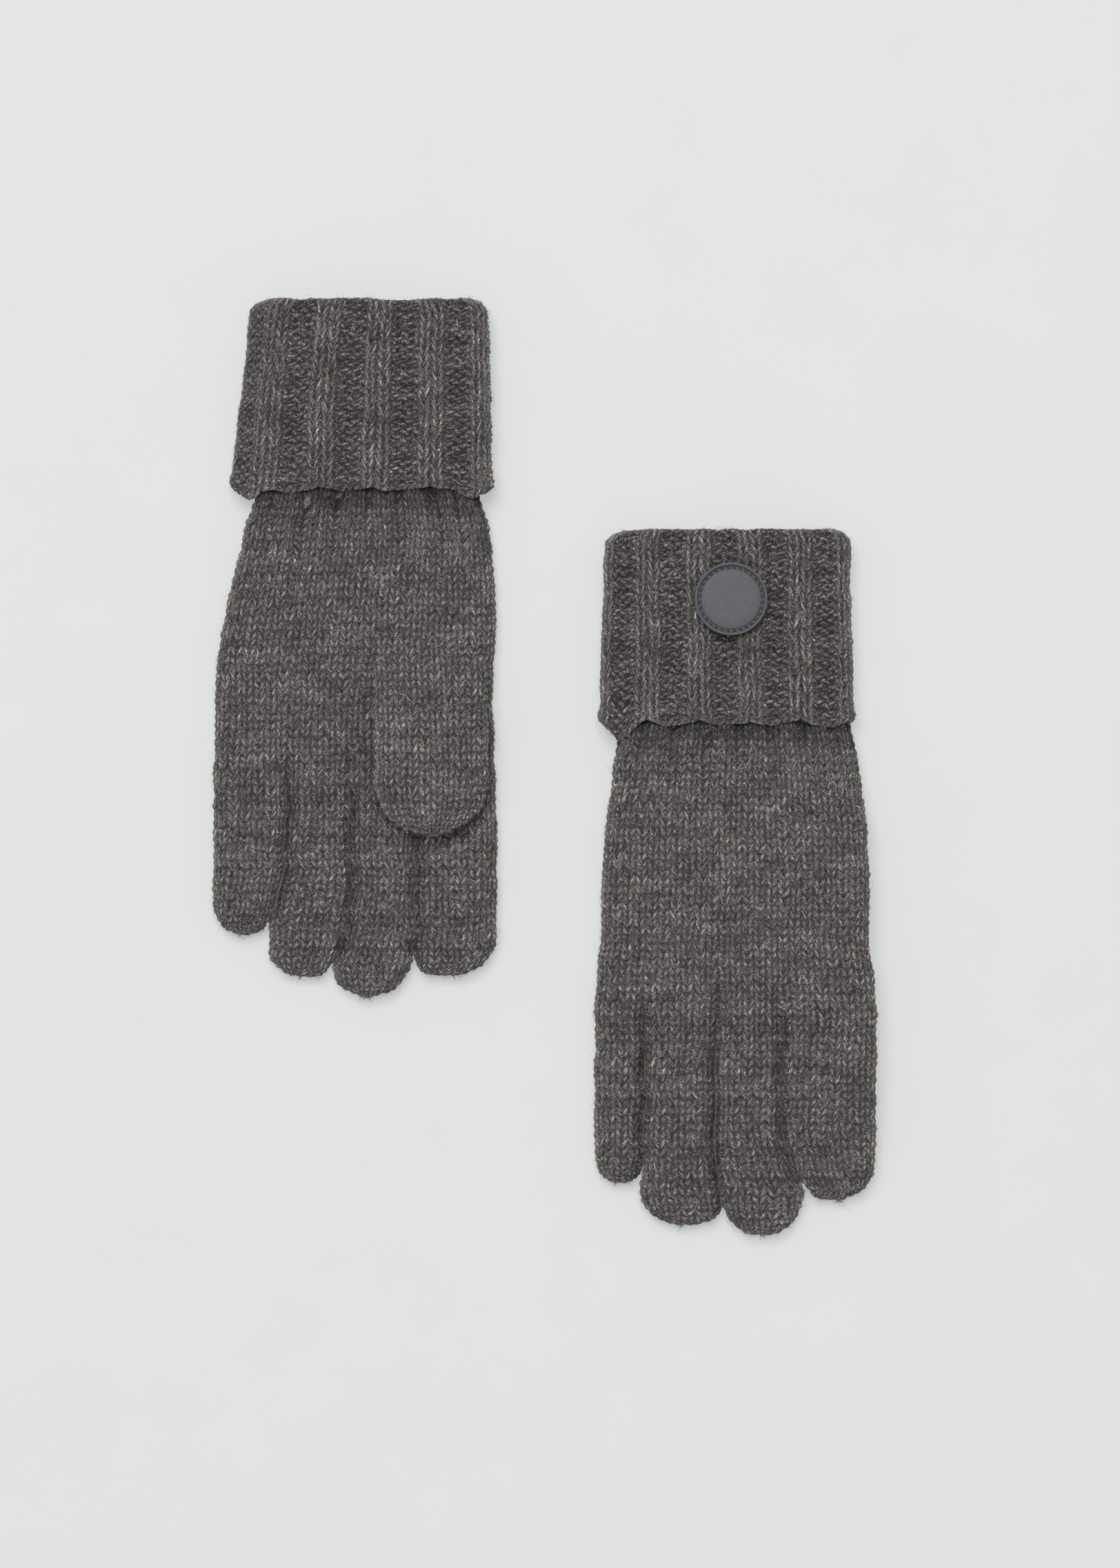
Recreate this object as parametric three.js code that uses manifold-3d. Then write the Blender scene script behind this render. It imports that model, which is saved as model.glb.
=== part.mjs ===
// A pair of knitted gloves with turned-back ribbed cuffs, laid flat on a table.
// Millimetres, +Z up. The cuffs point along +Y and the fingers along -Y.
// The left glove lies palm up with its thumb folded over the palm. The right glove lies
// palm down on its own thumb, so its hand is draped over the thumb beneath it.
// Lengths along a glove are measured from the fold at the top of its cuff.

import * as THREE from 'three';
import { mergeVertices } from 'three/addons/utils/BufferGeometryUtils.js';
import Module from 'manifold-3d';

// Knitted fabric and clearances
const WALL = 1.6;
const HAND_HOLLOW = 5.2;
const THUMB_WALL = 1.5;
const THUMB_HOLLOW = 4.6;
const WRIST_WALL = 1.6;
const WRIST_HOLLOW = 4.6;
const CUFF_WALL = 2.4;
const GAP = 0.3;

// Ribs that run along the cuff and the wrist
const RIB_COUNT = 11;
const CUFF_RIB_DEPTH = 0.8;
const WRIST_RIB_DEPTH = 0.5;

// Lengths along both gloves, from the fold
const CUFF_LENGTH = 56;
const CUFF_HEM_ROUND = 1.6;
const FOLD_ROUND_ALONG = 3.2;
const FOLD_ROUND_ACROSS = 4.6;
const FOLD_ROUND_DEEP = 2.1;
const WRIST_SHOWING = 10;
const WRIST_DROP = 15;
const HAND_LENGTH = 75.7;
const PALM_SWELL_LENGTH = 46;

// Thumb, its root line and the slit that it opens through
const THUMB_START = 101;
const THUMB_LENGTH = 53.2;
const THUMB_WIDTH = 33;
const THUMB_EDGE_INSET = 1.2;
const THUMB_ROOT_ROUND = 6;
const THUMB_TIP_ROUND = 15;
const SLIT_LENGTH = 12;
const SLIT_WIDTH = 22;
const SLIT_SETBACK = 2.5;

// How the right hand drapes over the thumb beneath it
const DRAPE_START = 58;
const DRAPE_MARGIN = 3;
const DRAPE_FALL_LENGTH = 46;

// Round badge on the right cuff
const BADGE_DIAMETER = 21;
const BADGE_THICKNESS = 1.3;
const BADGE_RIM_WIDTH = 0.8;
const BADGE_RIM_HEIGHT = 0.5;
const BADGE_GROOVE_WIDTH = 1.2;
const BADGE_GROOVE_DEPTH = 0.5;
const BADGE_FROM_FOLD = 20.2;
const BADGE_OFF_CENTRE = 1;
const STITCH_COUNT = 32;
const STITCH_THREAD = 0.5;

// How the pair lies: the right glove's place from the left one
const PAIR_SPACING = 103;
const PAIR_STAGGER = 66.6;

// The fingers of each glove as they lie: root is the length that belongs to the hand
const LEFT_LITTLE = { name: 'little', width: 19.2, root: 17, length: 41.4, tipRound: 9 };
const LEFT_RING = { name: 'ring', width: 18.4, root: 23, length: 53.8, tipRound: 9 };
const LEFT_MIDDLE = { name: 'middle', width: 20.6, root: 25, length: 59.4, tipRound: 10 };
const LEFT_INDEX = { name: 'index', width: 23.5, root: 22, length: 53.2, tipRound: 11 };
const RIGHT_LITTLE = { name: 'little', width: 16.6, root: 19, length: 46.6, tipRound: 8 };
const RIGHT_RING = { name: 'ring', width: 20.4, root: 25, length: 58.8, tipRound: 10 };
const RIGHT_MIDDLE = { name: 'middle', width: 19.6, root: 26, length: 61.8, tipRound: 10 };
const RIGHT_INDEX = { name: 'index', width: 24.6, root: 22, length: 51.8, tipRound: 11 };

// The two gloves as they lie. A shift is how far a part's middle lies from the fold's middle in X.
const LEFT = {
  name: 'left',
  foldWidth: 70,
  hemWidth: 77,
  hemShift: -2.4,
  wristWidth: 66.4,
  wristShift: -1.2,
  palmWidth: 81.4,
  knuckleShift: -5.5,
  fingers: [LEFT_LITTLE, LEFT_RING, LEFT_MIDDLE, LEFT_INDEX],
};
const RIGHT = {
  name: 'right',
  foldWidth: 72,
  hemWidth: 74.2,
  hemShift: 0.3,
  wristWidth: 67,
  wristShift: 2.4,
  palmWidth: 77.6,
  knuckleShift: 2.4,
  fingers: [RIGHT_LITTLE, RIGHT_RING, RIGHT_MIDDLE, RIGHT_INDEX],
};

// Fineness of the facets
const ROW_STEP = 8;
const DOME_STEPS = 4;
const DOME_LAST_SHARE = 0.85;
const CUT_OVERRUN = 1;
const EASE_ROUND = 0.2;

// Heights that follow from the fabric
const handThickness = HAND_HOLLOW + 2 * WALL;
const thumbThickness = THUMB_HOLLOW + 2 * THUMB_WALL;
const wristThickness = WRIST_HOLLOW + 2 * WRIST_WALL;
const cuffThickness = wristThickness + 2 * GAP + 2 * CUFF_WALL;
const handMiddle = handThickness / 2;
const cuffMiddle = cuffThickness / 2;
const drapeHeight = thumbThickness + GAP;

// Distances from the fold that follow from the lengths
const wristEnd = CUFF_LENGTH + WRIST_SHOWING;
const handStart = wristEnd + GAP;
const crotch = handStart + HAND_LENGTH;
const thumbEnd = THUMB_START + THUMB_LENGTH;

const wasm = await Module();
wasm.setup();

const yarn = new THREE.MeshStandardMaterial({ color: 0x5a5755, roughness: 0.95, metalness: 0 });
const ribYarn = new THREE.MeshStandardMaterial({ color: 0x524f4e, roughness: 0.95, metalness: 0 });
const moulded = new THREE.MeshStandardMaterial({ color: 0x66656a, roughness: 0.7, metalness: 0 });
const thread = new THREE.MeshStandardMaterial({ color: 0x4a494d, roughness: 0.8, metalness: 0 });

// A climb from 0 to 1 as the share goes from 0 to 1: an even slope with a rounded foot and crown,
// level beyond both ends.
function ease(share) {
  const s = Math.min(1, Math.max(0, share));
  const curve = 2 * EASE_ROUND * (1 - EASE_ROUND);
  if (s < EASE_ROUND) return (s * s) / curve;
  if (s > 1 - EASE_ROUND) return 1 - ((1 - s) * (1 - s)) / curve;
  return (s - EASE_ROUND / 2) / (1 - EASE_ROUND);
}

function mix(from, to, share) {
  return from + (to - from) * share;
}

// Distances from one place to another, in equal steps no longer than ROW_STEP.
function stations(from, to) {
  const count = Math.max(1, Math.ceil(Math.abs(to - from) / ROW_STEP));
  return Array.from({ length: count + 1 }, (_, i) => mix(from, to, i / count));
}

// Sections, seen along the glove

// A flattened tube: straight above and below, and round at its two sides.
function flatSection(halfWidth, halfHeight, flatSteps, arcSteps) {
  const radius = Math.min(halfWidth, halfHeight);
  const reach = halfWidth - radius;
  const half = [];
  for (let i = 0; i < flatSteps; i += 1) {
    half.push([mix(-reach, reach, i / flatSteps), radius]);
  }
  for (let i = 0; i < arcSteps; i += 1) {
    const angle = Math.PI * (0.5 - i / arcSteps);
    half.push([reach + radius * Math.cos(angle), radius * Math.sin(angle)]);
  }
  return [...half, ...half.map(([x, z]) => [-x, -z])];
}

// The same tube with ribs: each rib has two points on its crest and two in the furrow beside it.
function ribbedSection(halfWidth, halfHeight, depth) {
  const radius = Math.min(halfWidth, halfHeight);
  const reach = halfWidth - radius;
  const flat = 2 * reach;
  const arc = Math.PI * radius;
  const round = 2 * (flat + arc);
  const points = [];
  for (let i = 0; i < 4 * RIB_COUNT; i += 1) {
    const inset = i % 4 < 2 ? 0 : depth;
    const along = ((i + 0.5) / (4 * RIB_COUNT)) * round;
    const turned = along >= round / 2 ? -1 : 1;
    const place = along % (round / 2);
    let point;
    if (place < flat) {
      point = [place - reach, radius - inset];
    } else {
      const angle = Math.PI / 2 - (place - flat) / radius;
      point = [reach + (radius - inset) * Math.cos(angle), (radius - inset) * Math.sin(angle)];
    }
    points.push(point.map((value) => value * turned));
  }
  return points;
}

// A closed solid through a row of sections, from the cuff end to the finger end. Each row has
// its place y, its middle x and z, and the points of its section. lift raises a point by its
// place, which is how the right hand drapes.
function loft(rows, lift) {
  const count = rows[0].points.length;
  const vertices = [];
  const triangles = [];
  for (const row of rows) {
    for (const [x, z] of row.points) {
      vertices.push(row.x + x, row.y, row.z + z + lift(row.x + x, row.y));
    }
  }
  for (let r = 0; r < rows.length - 1; r += 1) {
    for (let i = 0; i < count; i += 1) {
      const near = r * count + i;
      const nearNext = r * count + ((i + 1) % count);
      triangles.push([near, near + count, nearNext], [nearNext, near + count, nearNext + count]);
    }
  }
  for (const [index, order] of [[0, 1], [rows.length - 1, -1]]) {
    const row = rows[index];
    const middle = vertices.length / 3;
    vertices.push(row.x, row.y, row.z + lift(row.x, row.y));
    for (let i = 0; i < count; i += 1) {
      const pair = [index * count + i, index * count + ((i + 1) % count)];
      triangles.push([middle, ...(order > 0 ? pair : pair.reverse())]);
    }
  }
  return new wasm.Manifold(new wasm.Mesh({
    numProp: 3,
    vertProperties: new Float32Array(vertices),
    triVerts: new Uint32Array(triangles.flat()),
  }));
}

// Turns a closed three.js geometry into a solid that can be cut.
function solidOf(geometry) {
  const plain = geometry.clone();
  plain.deleteAttribute('normal');
  plain.deleteAttribute('uv');
  const merged = mergeVertices(plain);
  return new wasm.Manifold(new wasm.Mesh({
    numProp: 3,
    vertProperties: new Float32Array(merged.attributes.position.array),
    triVerts: new Uint32Array(merged.index.array),
  }));
}

function block(low, high) {
  const size = high.map((value, i) => value - low[i]);
  const geometry = new THREE.BoxGeometry(...size);
  geometry.translate(...low.map((value, i) => value + size[i] / 2));
  return solidOf(geometry);
}

function meshOf(name, solid, material) {
  const { vertProperties, triVerts } = solid.getMesh();
  const geometry = new THREE.BufferGeometry();
  geometry.setAttribute('position', new THREE.BufferAttribute(new Float32Array(vertProperties), 3));
  geometry.setIndex(new THREE.BufferAttribute(new Uint32Array(triVerts), 1));
  geometry.computeVertexNormals();
  const mesh = new THREE.Mesh(geometry, material);
  mesh.name = name;
  return mesh;
}

// Rows of a rounded end: along is how far each lies past the straight part, and size is its
// share of the full section, both on one ellipse.
function domeShares(length) {
  return Array.from({ length: DOME_STEPS }, (_, i) => {
    const angle = (Math.PI / 2) * ((i + DOME_LAST_SHARE) / DOME_STEPS);
    return { along: length * Math.sin(angle), size: Math.cos(angle) };
  });
}

// One glove as it lies. y is the place of its fold, x the middle of its cuff.
function makeGlove(shape, foldX, foldY, palmUp) {
  const group = new THREE.Group();
  const add = (name, solid, material) => group.add(meshOf(`${shape.name}_${name}`, solid, material));
  const level = () => 0;
  const place = (distance) => foldY - distance;

  // The four fingers side by side, each a gap from the next
  const block4 = shape.fingers.reduce((sum, finger) => sum + finger.width + GAP, -GAP);
  const blockLow = foldX + shape.knuckleShift - block4 / 2;
  const blockHigh = blockLow + block4;
  const thumbHigh = blockHigh - THUMB_EDGE_INSET;
  const thumbLow = thumbHigh - THUMB_WIDTH;
  const thumbMiddle = (thumbLow + thumbHigh) / 2;

  // The right hand rises over its thumb and comes down to the table at its other edge,
  // at the cuff and at the fingertips.
  const drape = (x, y) => {
    const distance = foldY - y;
    const across = ease((x - blockLow) / (thumbLow - DRAPE_MARGIN - blockLow));
    const rise = ease((distance - DRAPE_START) / (THUMB_START - DRAPE_MARGIN - DRAPE_START));
    const fall = ease((distance - (thumbEnd - DRAPE_MARGIN)) / DRAPE_FALL_LENGTH);
    return drapeHeight * across * rise * (1 - fall);
  };
  const lift = palmUp ? level : drape;

  // Middle height and outline of the sleeve from cuff to knuckles
  const middleHeight = (distance) =>
    mix(cuffMiddle, handMiddle, ease((distance - CUFF_LENGTH) / WRIST_DROP));
  const sleeveShift = (distance) => mix(
    shape.wristShift,
    shape.knuckleShift,
    ease((distance - wristEnd) / PALM_SWELL_LENGTH),
  );
  const handWidth = (distance) => {
    const swell = Math.min(1, Math.max(0, (distance - CUFF_LENGTH) / (PALM_SWELL_LENGTH + WRIST_SHOWING)));
    const palm = mix(shape.wristWidth, shape.palmWidth, 1 - (1 - swell) * (1 - swell));
    const flare = ease((distance - wristEnd - PALM_SWELL_LENGTH) / (HAND_LENGTH - PALM_SWELL_LENGTH));
    return mix(palm, block4, flare);
  };

  // Turned-back cuff: the outer layer of rib, rounded over at the fold, with a mouth at the top
  const cuffShift = (distance) => shape.hemShift * (distance / CUFF_LENGTH);
  const cuffWidth = (distance) => mix(shape.foldWidth, shape.hemWidth, distance / CUFF_LENGTH);
  const cuffRow = (distance, across, deep) => ({
    x: foldX + cuffShift(distance),
    y: place(distance),
    z: cuffMiddle,
    points: ribbedSection(cuffWidth(distance) / 2 - across, cuffThickness / 2 - deep, CUFF_RIB_DEPTH),
  });
  const foldRows = [0.1, 0.45, 1].map((share) => {
    const bulge = 1 - Math.sqrt(1 - (1 - share) * (1 - share));
    return cuffRow(FOLD_ROUND_ALONG * share, FOLD_ROUND_ACROSS * bulge, FOLD_ROUND_DEEP * bulge);
  });
  foldRows[0].y = place(0);
  const cuffRows = [
    ...foldRows,
    ...stations(FOLD_ROUND_ALONG, CUFF_LENGTH - CUFF_HEM_ROUND).slice(1).map((d) => cuffRow(d, 0, 0)),
    cuffRow(CUFF_LENGTH, CUFF_HEM_ROUND / 2, CUFF_HEM_ROUND / 3),
  ];

  // Wrist: the inner layer of rib, from inside the fold to the start of the hand
  const wristTop = FOLD_ROUND_ALONG + GAP;
  const wristWidthAt = (distance) => {
    const inside = cuffWidth(Math.min(distance, CUFF_LENGTH)) - 2 * (CUFF_WALL + GAP);
    return Math.min(inside, shape.wristWidth);
  };
  const wristShiftAt = (distance) => {
    const inCuff = cuffShift(Math.min(distance, CUFF_LENGTH));
    return mix(inCuff, shape.wristShift, ease((distance - CUFF_LENGTH) / WRIST_SHOWING));
  };
  const wristRow = (distance, inset, depth) => ({
    x: foldX + wristShiftAt(distance),
    y: place(distance),
    z: middleHeight(distance),
    points: depth > 0
      ? ribbedSection(wristWidthAt(distance) / 2 - inset, wristThickness / 2 - inset, depth)
      : flatSection(wristWidthAt(distance) / 2 - inset, wristThickness / 2 - inset, 6, 5),
  });
  const wristStations = [wristTop, ...stations(CUFF_LENGTH, wristEnd)];
  const wristOuter = loft(wristStations.map((d) => wristRow(d, 0, WRIST_RIB_DEPTH)), lift);
  const wristInner = loft(
    [wristTop - CUT_OVERRUN, ...wristStations, wristEnd + CUT_OVERRUN].map((d) => wristRow(d, WRIST_WALL, 0)),
    lift,
  );
  add('wrist_rib', wristOuter.subtract(wristInner), ribYarn);

  // The cuff is hollow for the wrist from its hem up to the fold, where only the mouth stays open.
  const pocket = loft(
    [wristTop - GAP, CUFF_LENGTH, CUFF_LENGTH + CUT_OVERRUN].map((d) => wristRow(d, -GAP, 0)),
    level,
  );
  const mouth = loft([-CUT_OVERRUN, wristTop + CUT_OVERRUN].map((d) => wristRow(d, WRIST_WALL, 0)), level);
  add('turned_cuff', loft(cuffRows, level).subtract(pocket).subtract(mouth), ribYarn);

  // Hand: a flattened sleeve with a slit in its palm side, beneath the thumb
  const handRow = (distance, inset) => ({
    x: foldX + sleeveShift(distance),
    y: place(distance),
    z: middleHeight(distance),
    points: flatSection(handWidth(distance) / 2 - inset, handMiddle - inset, 9, 4),
  });
  const handStations = stations(handStart, crotch);
  const handOuter = loft(handStations.map((d) => handRow(d, 0)), lift);
  const handInner = loft(
    [handStart - CUT_OVERRUN, ...handStations, crotch + CUT_OVERRUN].map((d) => handRow(d, WALL)),
    lift,
  );
  const slitNear = place(THUMB_START + SLIT_SETBACK);
  const slitFar = slitNear - SLIT_LENGTH;
  const palmHeight = palmUp ? handThickness : drapeHeight;
  const slitDepth = WALL + CUT_OVERRUN;
  const slit = block(
    [thumbMiddle - SLIT_WIDTH / 2, slitFar, palmHeight - slitDepth],
    [thumbMiddle + SLIT_WIDTH / 2, slitNear, palmHeight + slitDepth],
  );
  add('hand', handOuter.subtract(handInner).subtract(slit), yarn);

  // Thumb: a flat hood over the slit, against the palm and closed at both ends
  const outward = palmUp ? 1 : -1;
  const thumbFoot = palmHeight + outward * GAP;
  const thumbRows = (inset) => {
    const from = THUMB_START + GAP / 2 + inset;
    const to = thumbEnd - inset;
    const full = thumbThickness / 2 - inset;
    const row = (distance, width, height) => ({
      x: thumbMiddle,
      y: place(distance),
      z: thumbFoot + outward * (inset + height),
      points: flatSection(width, height, 4, 4),
    });
    const half = THUMB_WIDTH / 2 - inset;
    const slope = [[0, 0.9, 0.5], [0.5, 0.98, 0.85]].map(([share, width, height]) =>
      row(from + share * THUMB_ROOT_ROUND, half * width, full * height));
    const body = stations(from + THUMB_ROOT_ROUND, to - THUMB_TIP_ROUND).map((d) => row(d, half, full));
    const tip = domeShares(THUMB_TIP_ROUND).map(({ along, size }) => ({
      ...row(to - THUMB_TIP_ROUND + along, half * size, full * Math.sqrt(size)),
      z: thumbFoot + outward * (inset + full),
    }));
    return [...slope, ...body, ...tip];
  };
  const thumbSlit = block(
    [thumbMiddle - SLIT_WIDTH / 2, slitFar, thumbFoot - slitDepth],
    [thumbMiddle + SLIT_WIDTH / 2, slitNear, thumbFoot + slitDepth],
  );
  const thumbShell = loft(thumbRows(0), level).subtract(loft(thumbRows(THUMB_WALL), level));
  add('thumb', thumbShell.subtract(thumbSlit), yarn);

  // Fingers: a root that belongs to the hand, and the rest beyond the middle knuckle
  let low = blockLow;
  for (const finger of shape.fingers) {
    const middle = low + finger.width / 2;
    low += finger.width + GAP;
    const row = (distance, inset, size = 1) => ({
      x: middle,
      y: place(distance),
      z: handMiddle,
      points: flatSection((finger.width / 2 - inset) * size, (handMiddle - inset) * size, 3, 4),
    });
    const start = crotch + GAP;
    const knuckle = crotch + finger.root;
    const end = crotch + finger.length;
    // The root levels out from the hand's slant, so the knuckle bends about a level line.
    const fingerLift = (x, y) => lift(mix(x, middle, ease((foldY - y - crotch) / finger.root)), y);
    const rootStations = stations(start, knuckle - GAP / 2);
    const root = loft(rootStations.map((d) => row(d, 0)), fingerLift);
    const rootHollow = loft(
      [start - CUT_OVERRUN, ...rootStations, knuckle + CUT_OVERRUN].map((d) => row(d, WALL)),
      fingerLift,
    );
    add(`${finger.name}_root`, root.subtract(rootHollow), yarn);

    const tipRows = (from, inset) => {
      const straightEnd = end - finger.tipRound;
      return [
        ...stations(from, straightEnd).map((d) => row(d, inset)),
        ...domeShares(finger.tipRound - inset).map(({ along, size }) => row(straightEnd + along, inset, size)),
      ];
    };
    const tip = loft(tipRows(knuckle + GAP / 2, 0), fingerLift);
    const tipHollow = loft(tipRows(knuckle - CUT_OVERRUN, WALL), fingerLift);
    add(`${finger.name}_tip`, tip.subtract(tipHollow), yarn);
  }
  return group;
}

// Badge: a round moulded disc with a raised rim and a groove that a ring of stitches lies in
function makeBadge(x, y, z) {
  const group = new THREE.Group();
  const radius = BADGE_DIAMETER / 2;
  const rimInner = radius - BADGE_RIM_WIDTH;
  const grooveInner = rimInner - BADGE_GROOVE_WIDTH;
  const face = BADGE_THICKNESS;
  const rim = face + BADGE_RIM_HEIGHT;
  const bevel = BADGE_RIM_HEIGHT / 2;
  const profile = [
    [0, 0],
    [radius, 0],
    [radius, rim - bevel],
    [radius - bevel, rim],
    [rimInner, rim],
    [rimInner, face - BADGE_GROOVE_DEPTH],
    [grooveInner, face - BADGE_GROOVE_DEPTH],
    [grooveInner, face],
    [0, face],
  ].map(([r, height]) => new THREE.Vector2(r, height));
  const disc = new THREE.LatheGeometry(profile, STITCH_COUNT);
  disc.rotateX(Math.PI / 2);
  group.add(meshOf('cuff_badge', solidOf(disc), moulded));

  const path = new THREE.CatmullRomCurve3(
    Array.from({ length: 2 * STITCH_COUNT }, (_, i) => {
      const angle = (Math.PI * i) / STITCH_COUNT;
      const ring = (rimInner + grooveInner) / 2;
      const rise = i % 2 === 0 ? STITCH_THREAD / 4 : 0;
      return new THREE.Vector3(ring * Math.cos(angle), ring * Math.sin(angle), rise);
    }),
    true,
  );
  const steps = 2 * STITCH_COUNT;
  const sides = 4;
  const frames = path.computeFrenetFrames(steps, true);
  const positions = [];
  const indices = [];
  for (let i = 0; i < steps; i += 1) {
    const centre = path.getPointAt(i / steps);
    for (let j = 0; j < sides; j += 1) {
      const angle = (2 * Math.PI * (j + 0.5)) / sides;
      const point = centre.clone()
        .addScaledVector(frames.normals[i], (STITCH_THREAD / 2) * Math.cos(angle))
        .addScaledVector(frames.binormals[i], (STITCH_THREAD / 2) * Math.sin(angle));
      positions.push(point.x, point.y, point.z);
      const next = ((i + 1) % steps) * sides;
      const here = i * sides;
      const beside = (j + 1) % sides;
      indices.push(here + j, here + beside, next + j, here + beside, next + beside, next + j);
    }
  }
  const ring = new THREE.BufferGeometry();
  ring.setAttribute('position', new THREE.Float32BufferAttribute(positions, 3));
  ring.setIndex(indices);
  ring.computeVertexNormals();
  const stitches = new THREE.Mesh(ring, thread);
  stitches.name = 'badge_stitching';
  stitches.position.z = face - BADGE_GROOVE_DEPTH + GAP + STITCH_THREAD / 2;
  group.add(stitches);
  group.position.set(x, y, z);
  return group;
}

const leftX = 0;
const leftFold = 0;
const rightX = leftX + PAIR_SPACING;
const rightFold = leftFold - PAIR_STAGGER;

const pair = new THREE.Group();
pair.add(makeGlove(LEFT, leftX, leftFold, true));
pair.add(makeGlove(RIGHT, rightX, rightFold, false));
pair.add(makeBadge(rightX + BADGE_OFF_CENTRE, rightFold - BADGE_FROM_FOLD, cuffThickness + GAP));

// The origin is the middle of the pair's outline, on the table.
const outline = new THREE.Box3().setFromObject(pair, true);
const middle = outline.getCenter(new THREE.Vector3());
pair.position.set(-middle.x, -middle.y, -outline.min.z);
pair.updateMatrixWorld(true);

export default pair;
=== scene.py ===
import bpy
import numpy as np
from numpy import arange, clip, concatenate, cos, maximum, minimum, pi, sin, stack, where
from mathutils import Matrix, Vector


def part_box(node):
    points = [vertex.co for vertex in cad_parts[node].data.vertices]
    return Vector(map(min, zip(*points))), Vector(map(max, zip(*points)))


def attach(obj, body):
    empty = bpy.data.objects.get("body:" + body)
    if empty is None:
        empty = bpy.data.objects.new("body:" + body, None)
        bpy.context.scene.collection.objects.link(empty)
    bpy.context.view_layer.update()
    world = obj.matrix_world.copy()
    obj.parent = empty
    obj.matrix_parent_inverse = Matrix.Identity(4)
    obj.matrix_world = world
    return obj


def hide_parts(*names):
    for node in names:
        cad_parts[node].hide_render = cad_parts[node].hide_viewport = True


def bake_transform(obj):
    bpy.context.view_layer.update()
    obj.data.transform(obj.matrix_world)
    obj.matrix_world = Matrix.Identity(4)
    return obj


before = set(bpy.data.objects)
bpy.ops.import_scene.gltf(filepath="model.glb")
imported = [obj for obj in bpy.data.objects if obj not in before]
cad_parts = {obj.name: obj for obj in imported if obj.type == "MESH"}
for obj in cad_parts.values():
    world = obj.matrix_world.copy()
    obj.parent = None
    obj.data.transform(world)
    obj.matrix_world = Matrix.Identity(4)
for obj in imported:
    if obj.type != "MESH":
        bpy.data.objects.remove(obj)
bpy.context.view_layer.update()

# A pair of knitted gloves, lying flat. Lengths are in millimetres in the frame of the CAD model. d
# is a distance along a glove, from the fold of its cuff. Shares, shades and counts have no unit.
MM = 0.001
TINY = 1e-9
THINNEST = 0.1
EASE_ROUND = 0.2
SIDE_FLAT = 0.6
CORNER_SHARE = 0.6

# The knit: its rows are courses and its columns wales. A rise is how far a stitch's strands run
# along the glove, a relief how high they stand and a reach how much of their length shows.
COURSE = 2.36
WALE = 3.5
LEG_RISE = 2.6
RIB_RISE = 4.0
KNIT_RELIEF = 1.2
RIB_RELIEF = 0.9
PURL_RELIEF = 1.1
SIDE_RELIEF = 0.5
KNIT_REACH = 0.8
RIB_REACH = 0.68
PURL_REACH = 0.78
STRAND_TAPER = 1.5
STRAND_SHIFT = 0.16
PURL_WAVE = 0.45
PURL_SLANT = 0.22
# Purl crests are dimmed, which paints shade on the purl troughs between the ribs
PURL_CREST = 0.86
UNEVEN = 0.26
UNEVEN_LIGHT = 0.3
# Painted shade between courses, where each stitch tucks under the next, and the least that painted
# shade may leave of the colour
ROW_SHADE = 0.26
DARKEST = 0.3
FABRIC = 1.6

# The mesh of the knit
COLUMNS_IN_WALE = 8
COLUMN_GAP = 0.02
ROWS_IN_COURSE = 6
SLOPE_STEP = 0.02
MERGE_CELL = 2e-3

# Turned cuff: two knit wales and two purl wales to a rib. It hangs lowest at the turn HANG_PLACE.
RIBS = 11
RIB_WALES = 4
KNIT_SHARE = 0.55
RIB_HEIGHT = 1.0
RIB_SQUARE = 1.35
# Painted shade on the purl troughs between the ribs
TROUGH_SHADE = 0.26
CUFF_LENGTH = 56.0
CUFF_FABRIC = 4.0
CUFF_CORNER = 4.5
CORNER_CUT = 0.75
FOLD_RADIUS = 2.3
LIP_LENGTH = 7.0
CAST_ON = 2.0
CAST_ON_LEAN = 0.35
HEM_WAVE = 0.7
HEM_LOOP = 0.5
HEM_TUCK = 1.3
HEM_ROLL = 0.7
ROLL_PLACE = 2.6
ROLL_WIDTH = 1.8
UNDER_HEM = 1.4
HANG_PLACE = 0.385
HANG_RISE = 0.085
HANG_FALL = 0.15
HANG_FADE = 26.0

# Loose fibres. FIBRE_SIDE times as many grow where the fabric faces sideways.
FIBRE_SHARE = 0.045
FIBRE_SIDE = 14.0
FIBRE_UNDER = 0.1
FIBRE_CREST = 0.3
FIBRE_SHADE = 0.7
# Fibres are given crests that paint them with the highlight of the strand tops
FIBRE_LIGHT = (0.8, 1.4)
FIBRE_LIFT = (0.15, 0.9)
FIBRE_LENGTH = 1.2
FIBRE_SPREAD = 2.5
FIBRE_RADIUS = 0.036
FIBRE_DEPTH = 0.15
FIBRE_STEPS = 2
FIBRE_CORNERS = 3
FIBRE_PATCH = 60
FLOOR_CLEAR = 0.02

# Curled hairs drawn on the yarn, and how light each yarn is, between its strands and on their tops:
# painted shade in the gaps and a painted highlight on the tops
HAIR_LENGTH = 0.95
HAIR_WIDTH = 0.25
HAIR_DEPTH = 0.8
HAIR_CURL = 1.1
HAIR_TURNS = (24.0, -30.0, 68.0)
CREST_PLACES = (0.0, 0.25, 0.45, 0.9)
PLAIN_YARN = (0.137, (0.41, 0.98, 1.43, 1.72))
RIB_YARN = (0.143, (0.28, 0.93, 1.5, 1.9))

# Wrist
WRIST_START = 7.0
WRIST_KNIT_END = 53.0
WRIST_END = 66.0
WRIST_HALF = 3.2
WRIST_RIB = 0.5
WRIST_CLEAR = 5.4
WRIST_TUCK = 1.8
WRIST_SWAY = 10.0
WRIST_DROP = 15.0

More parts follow.
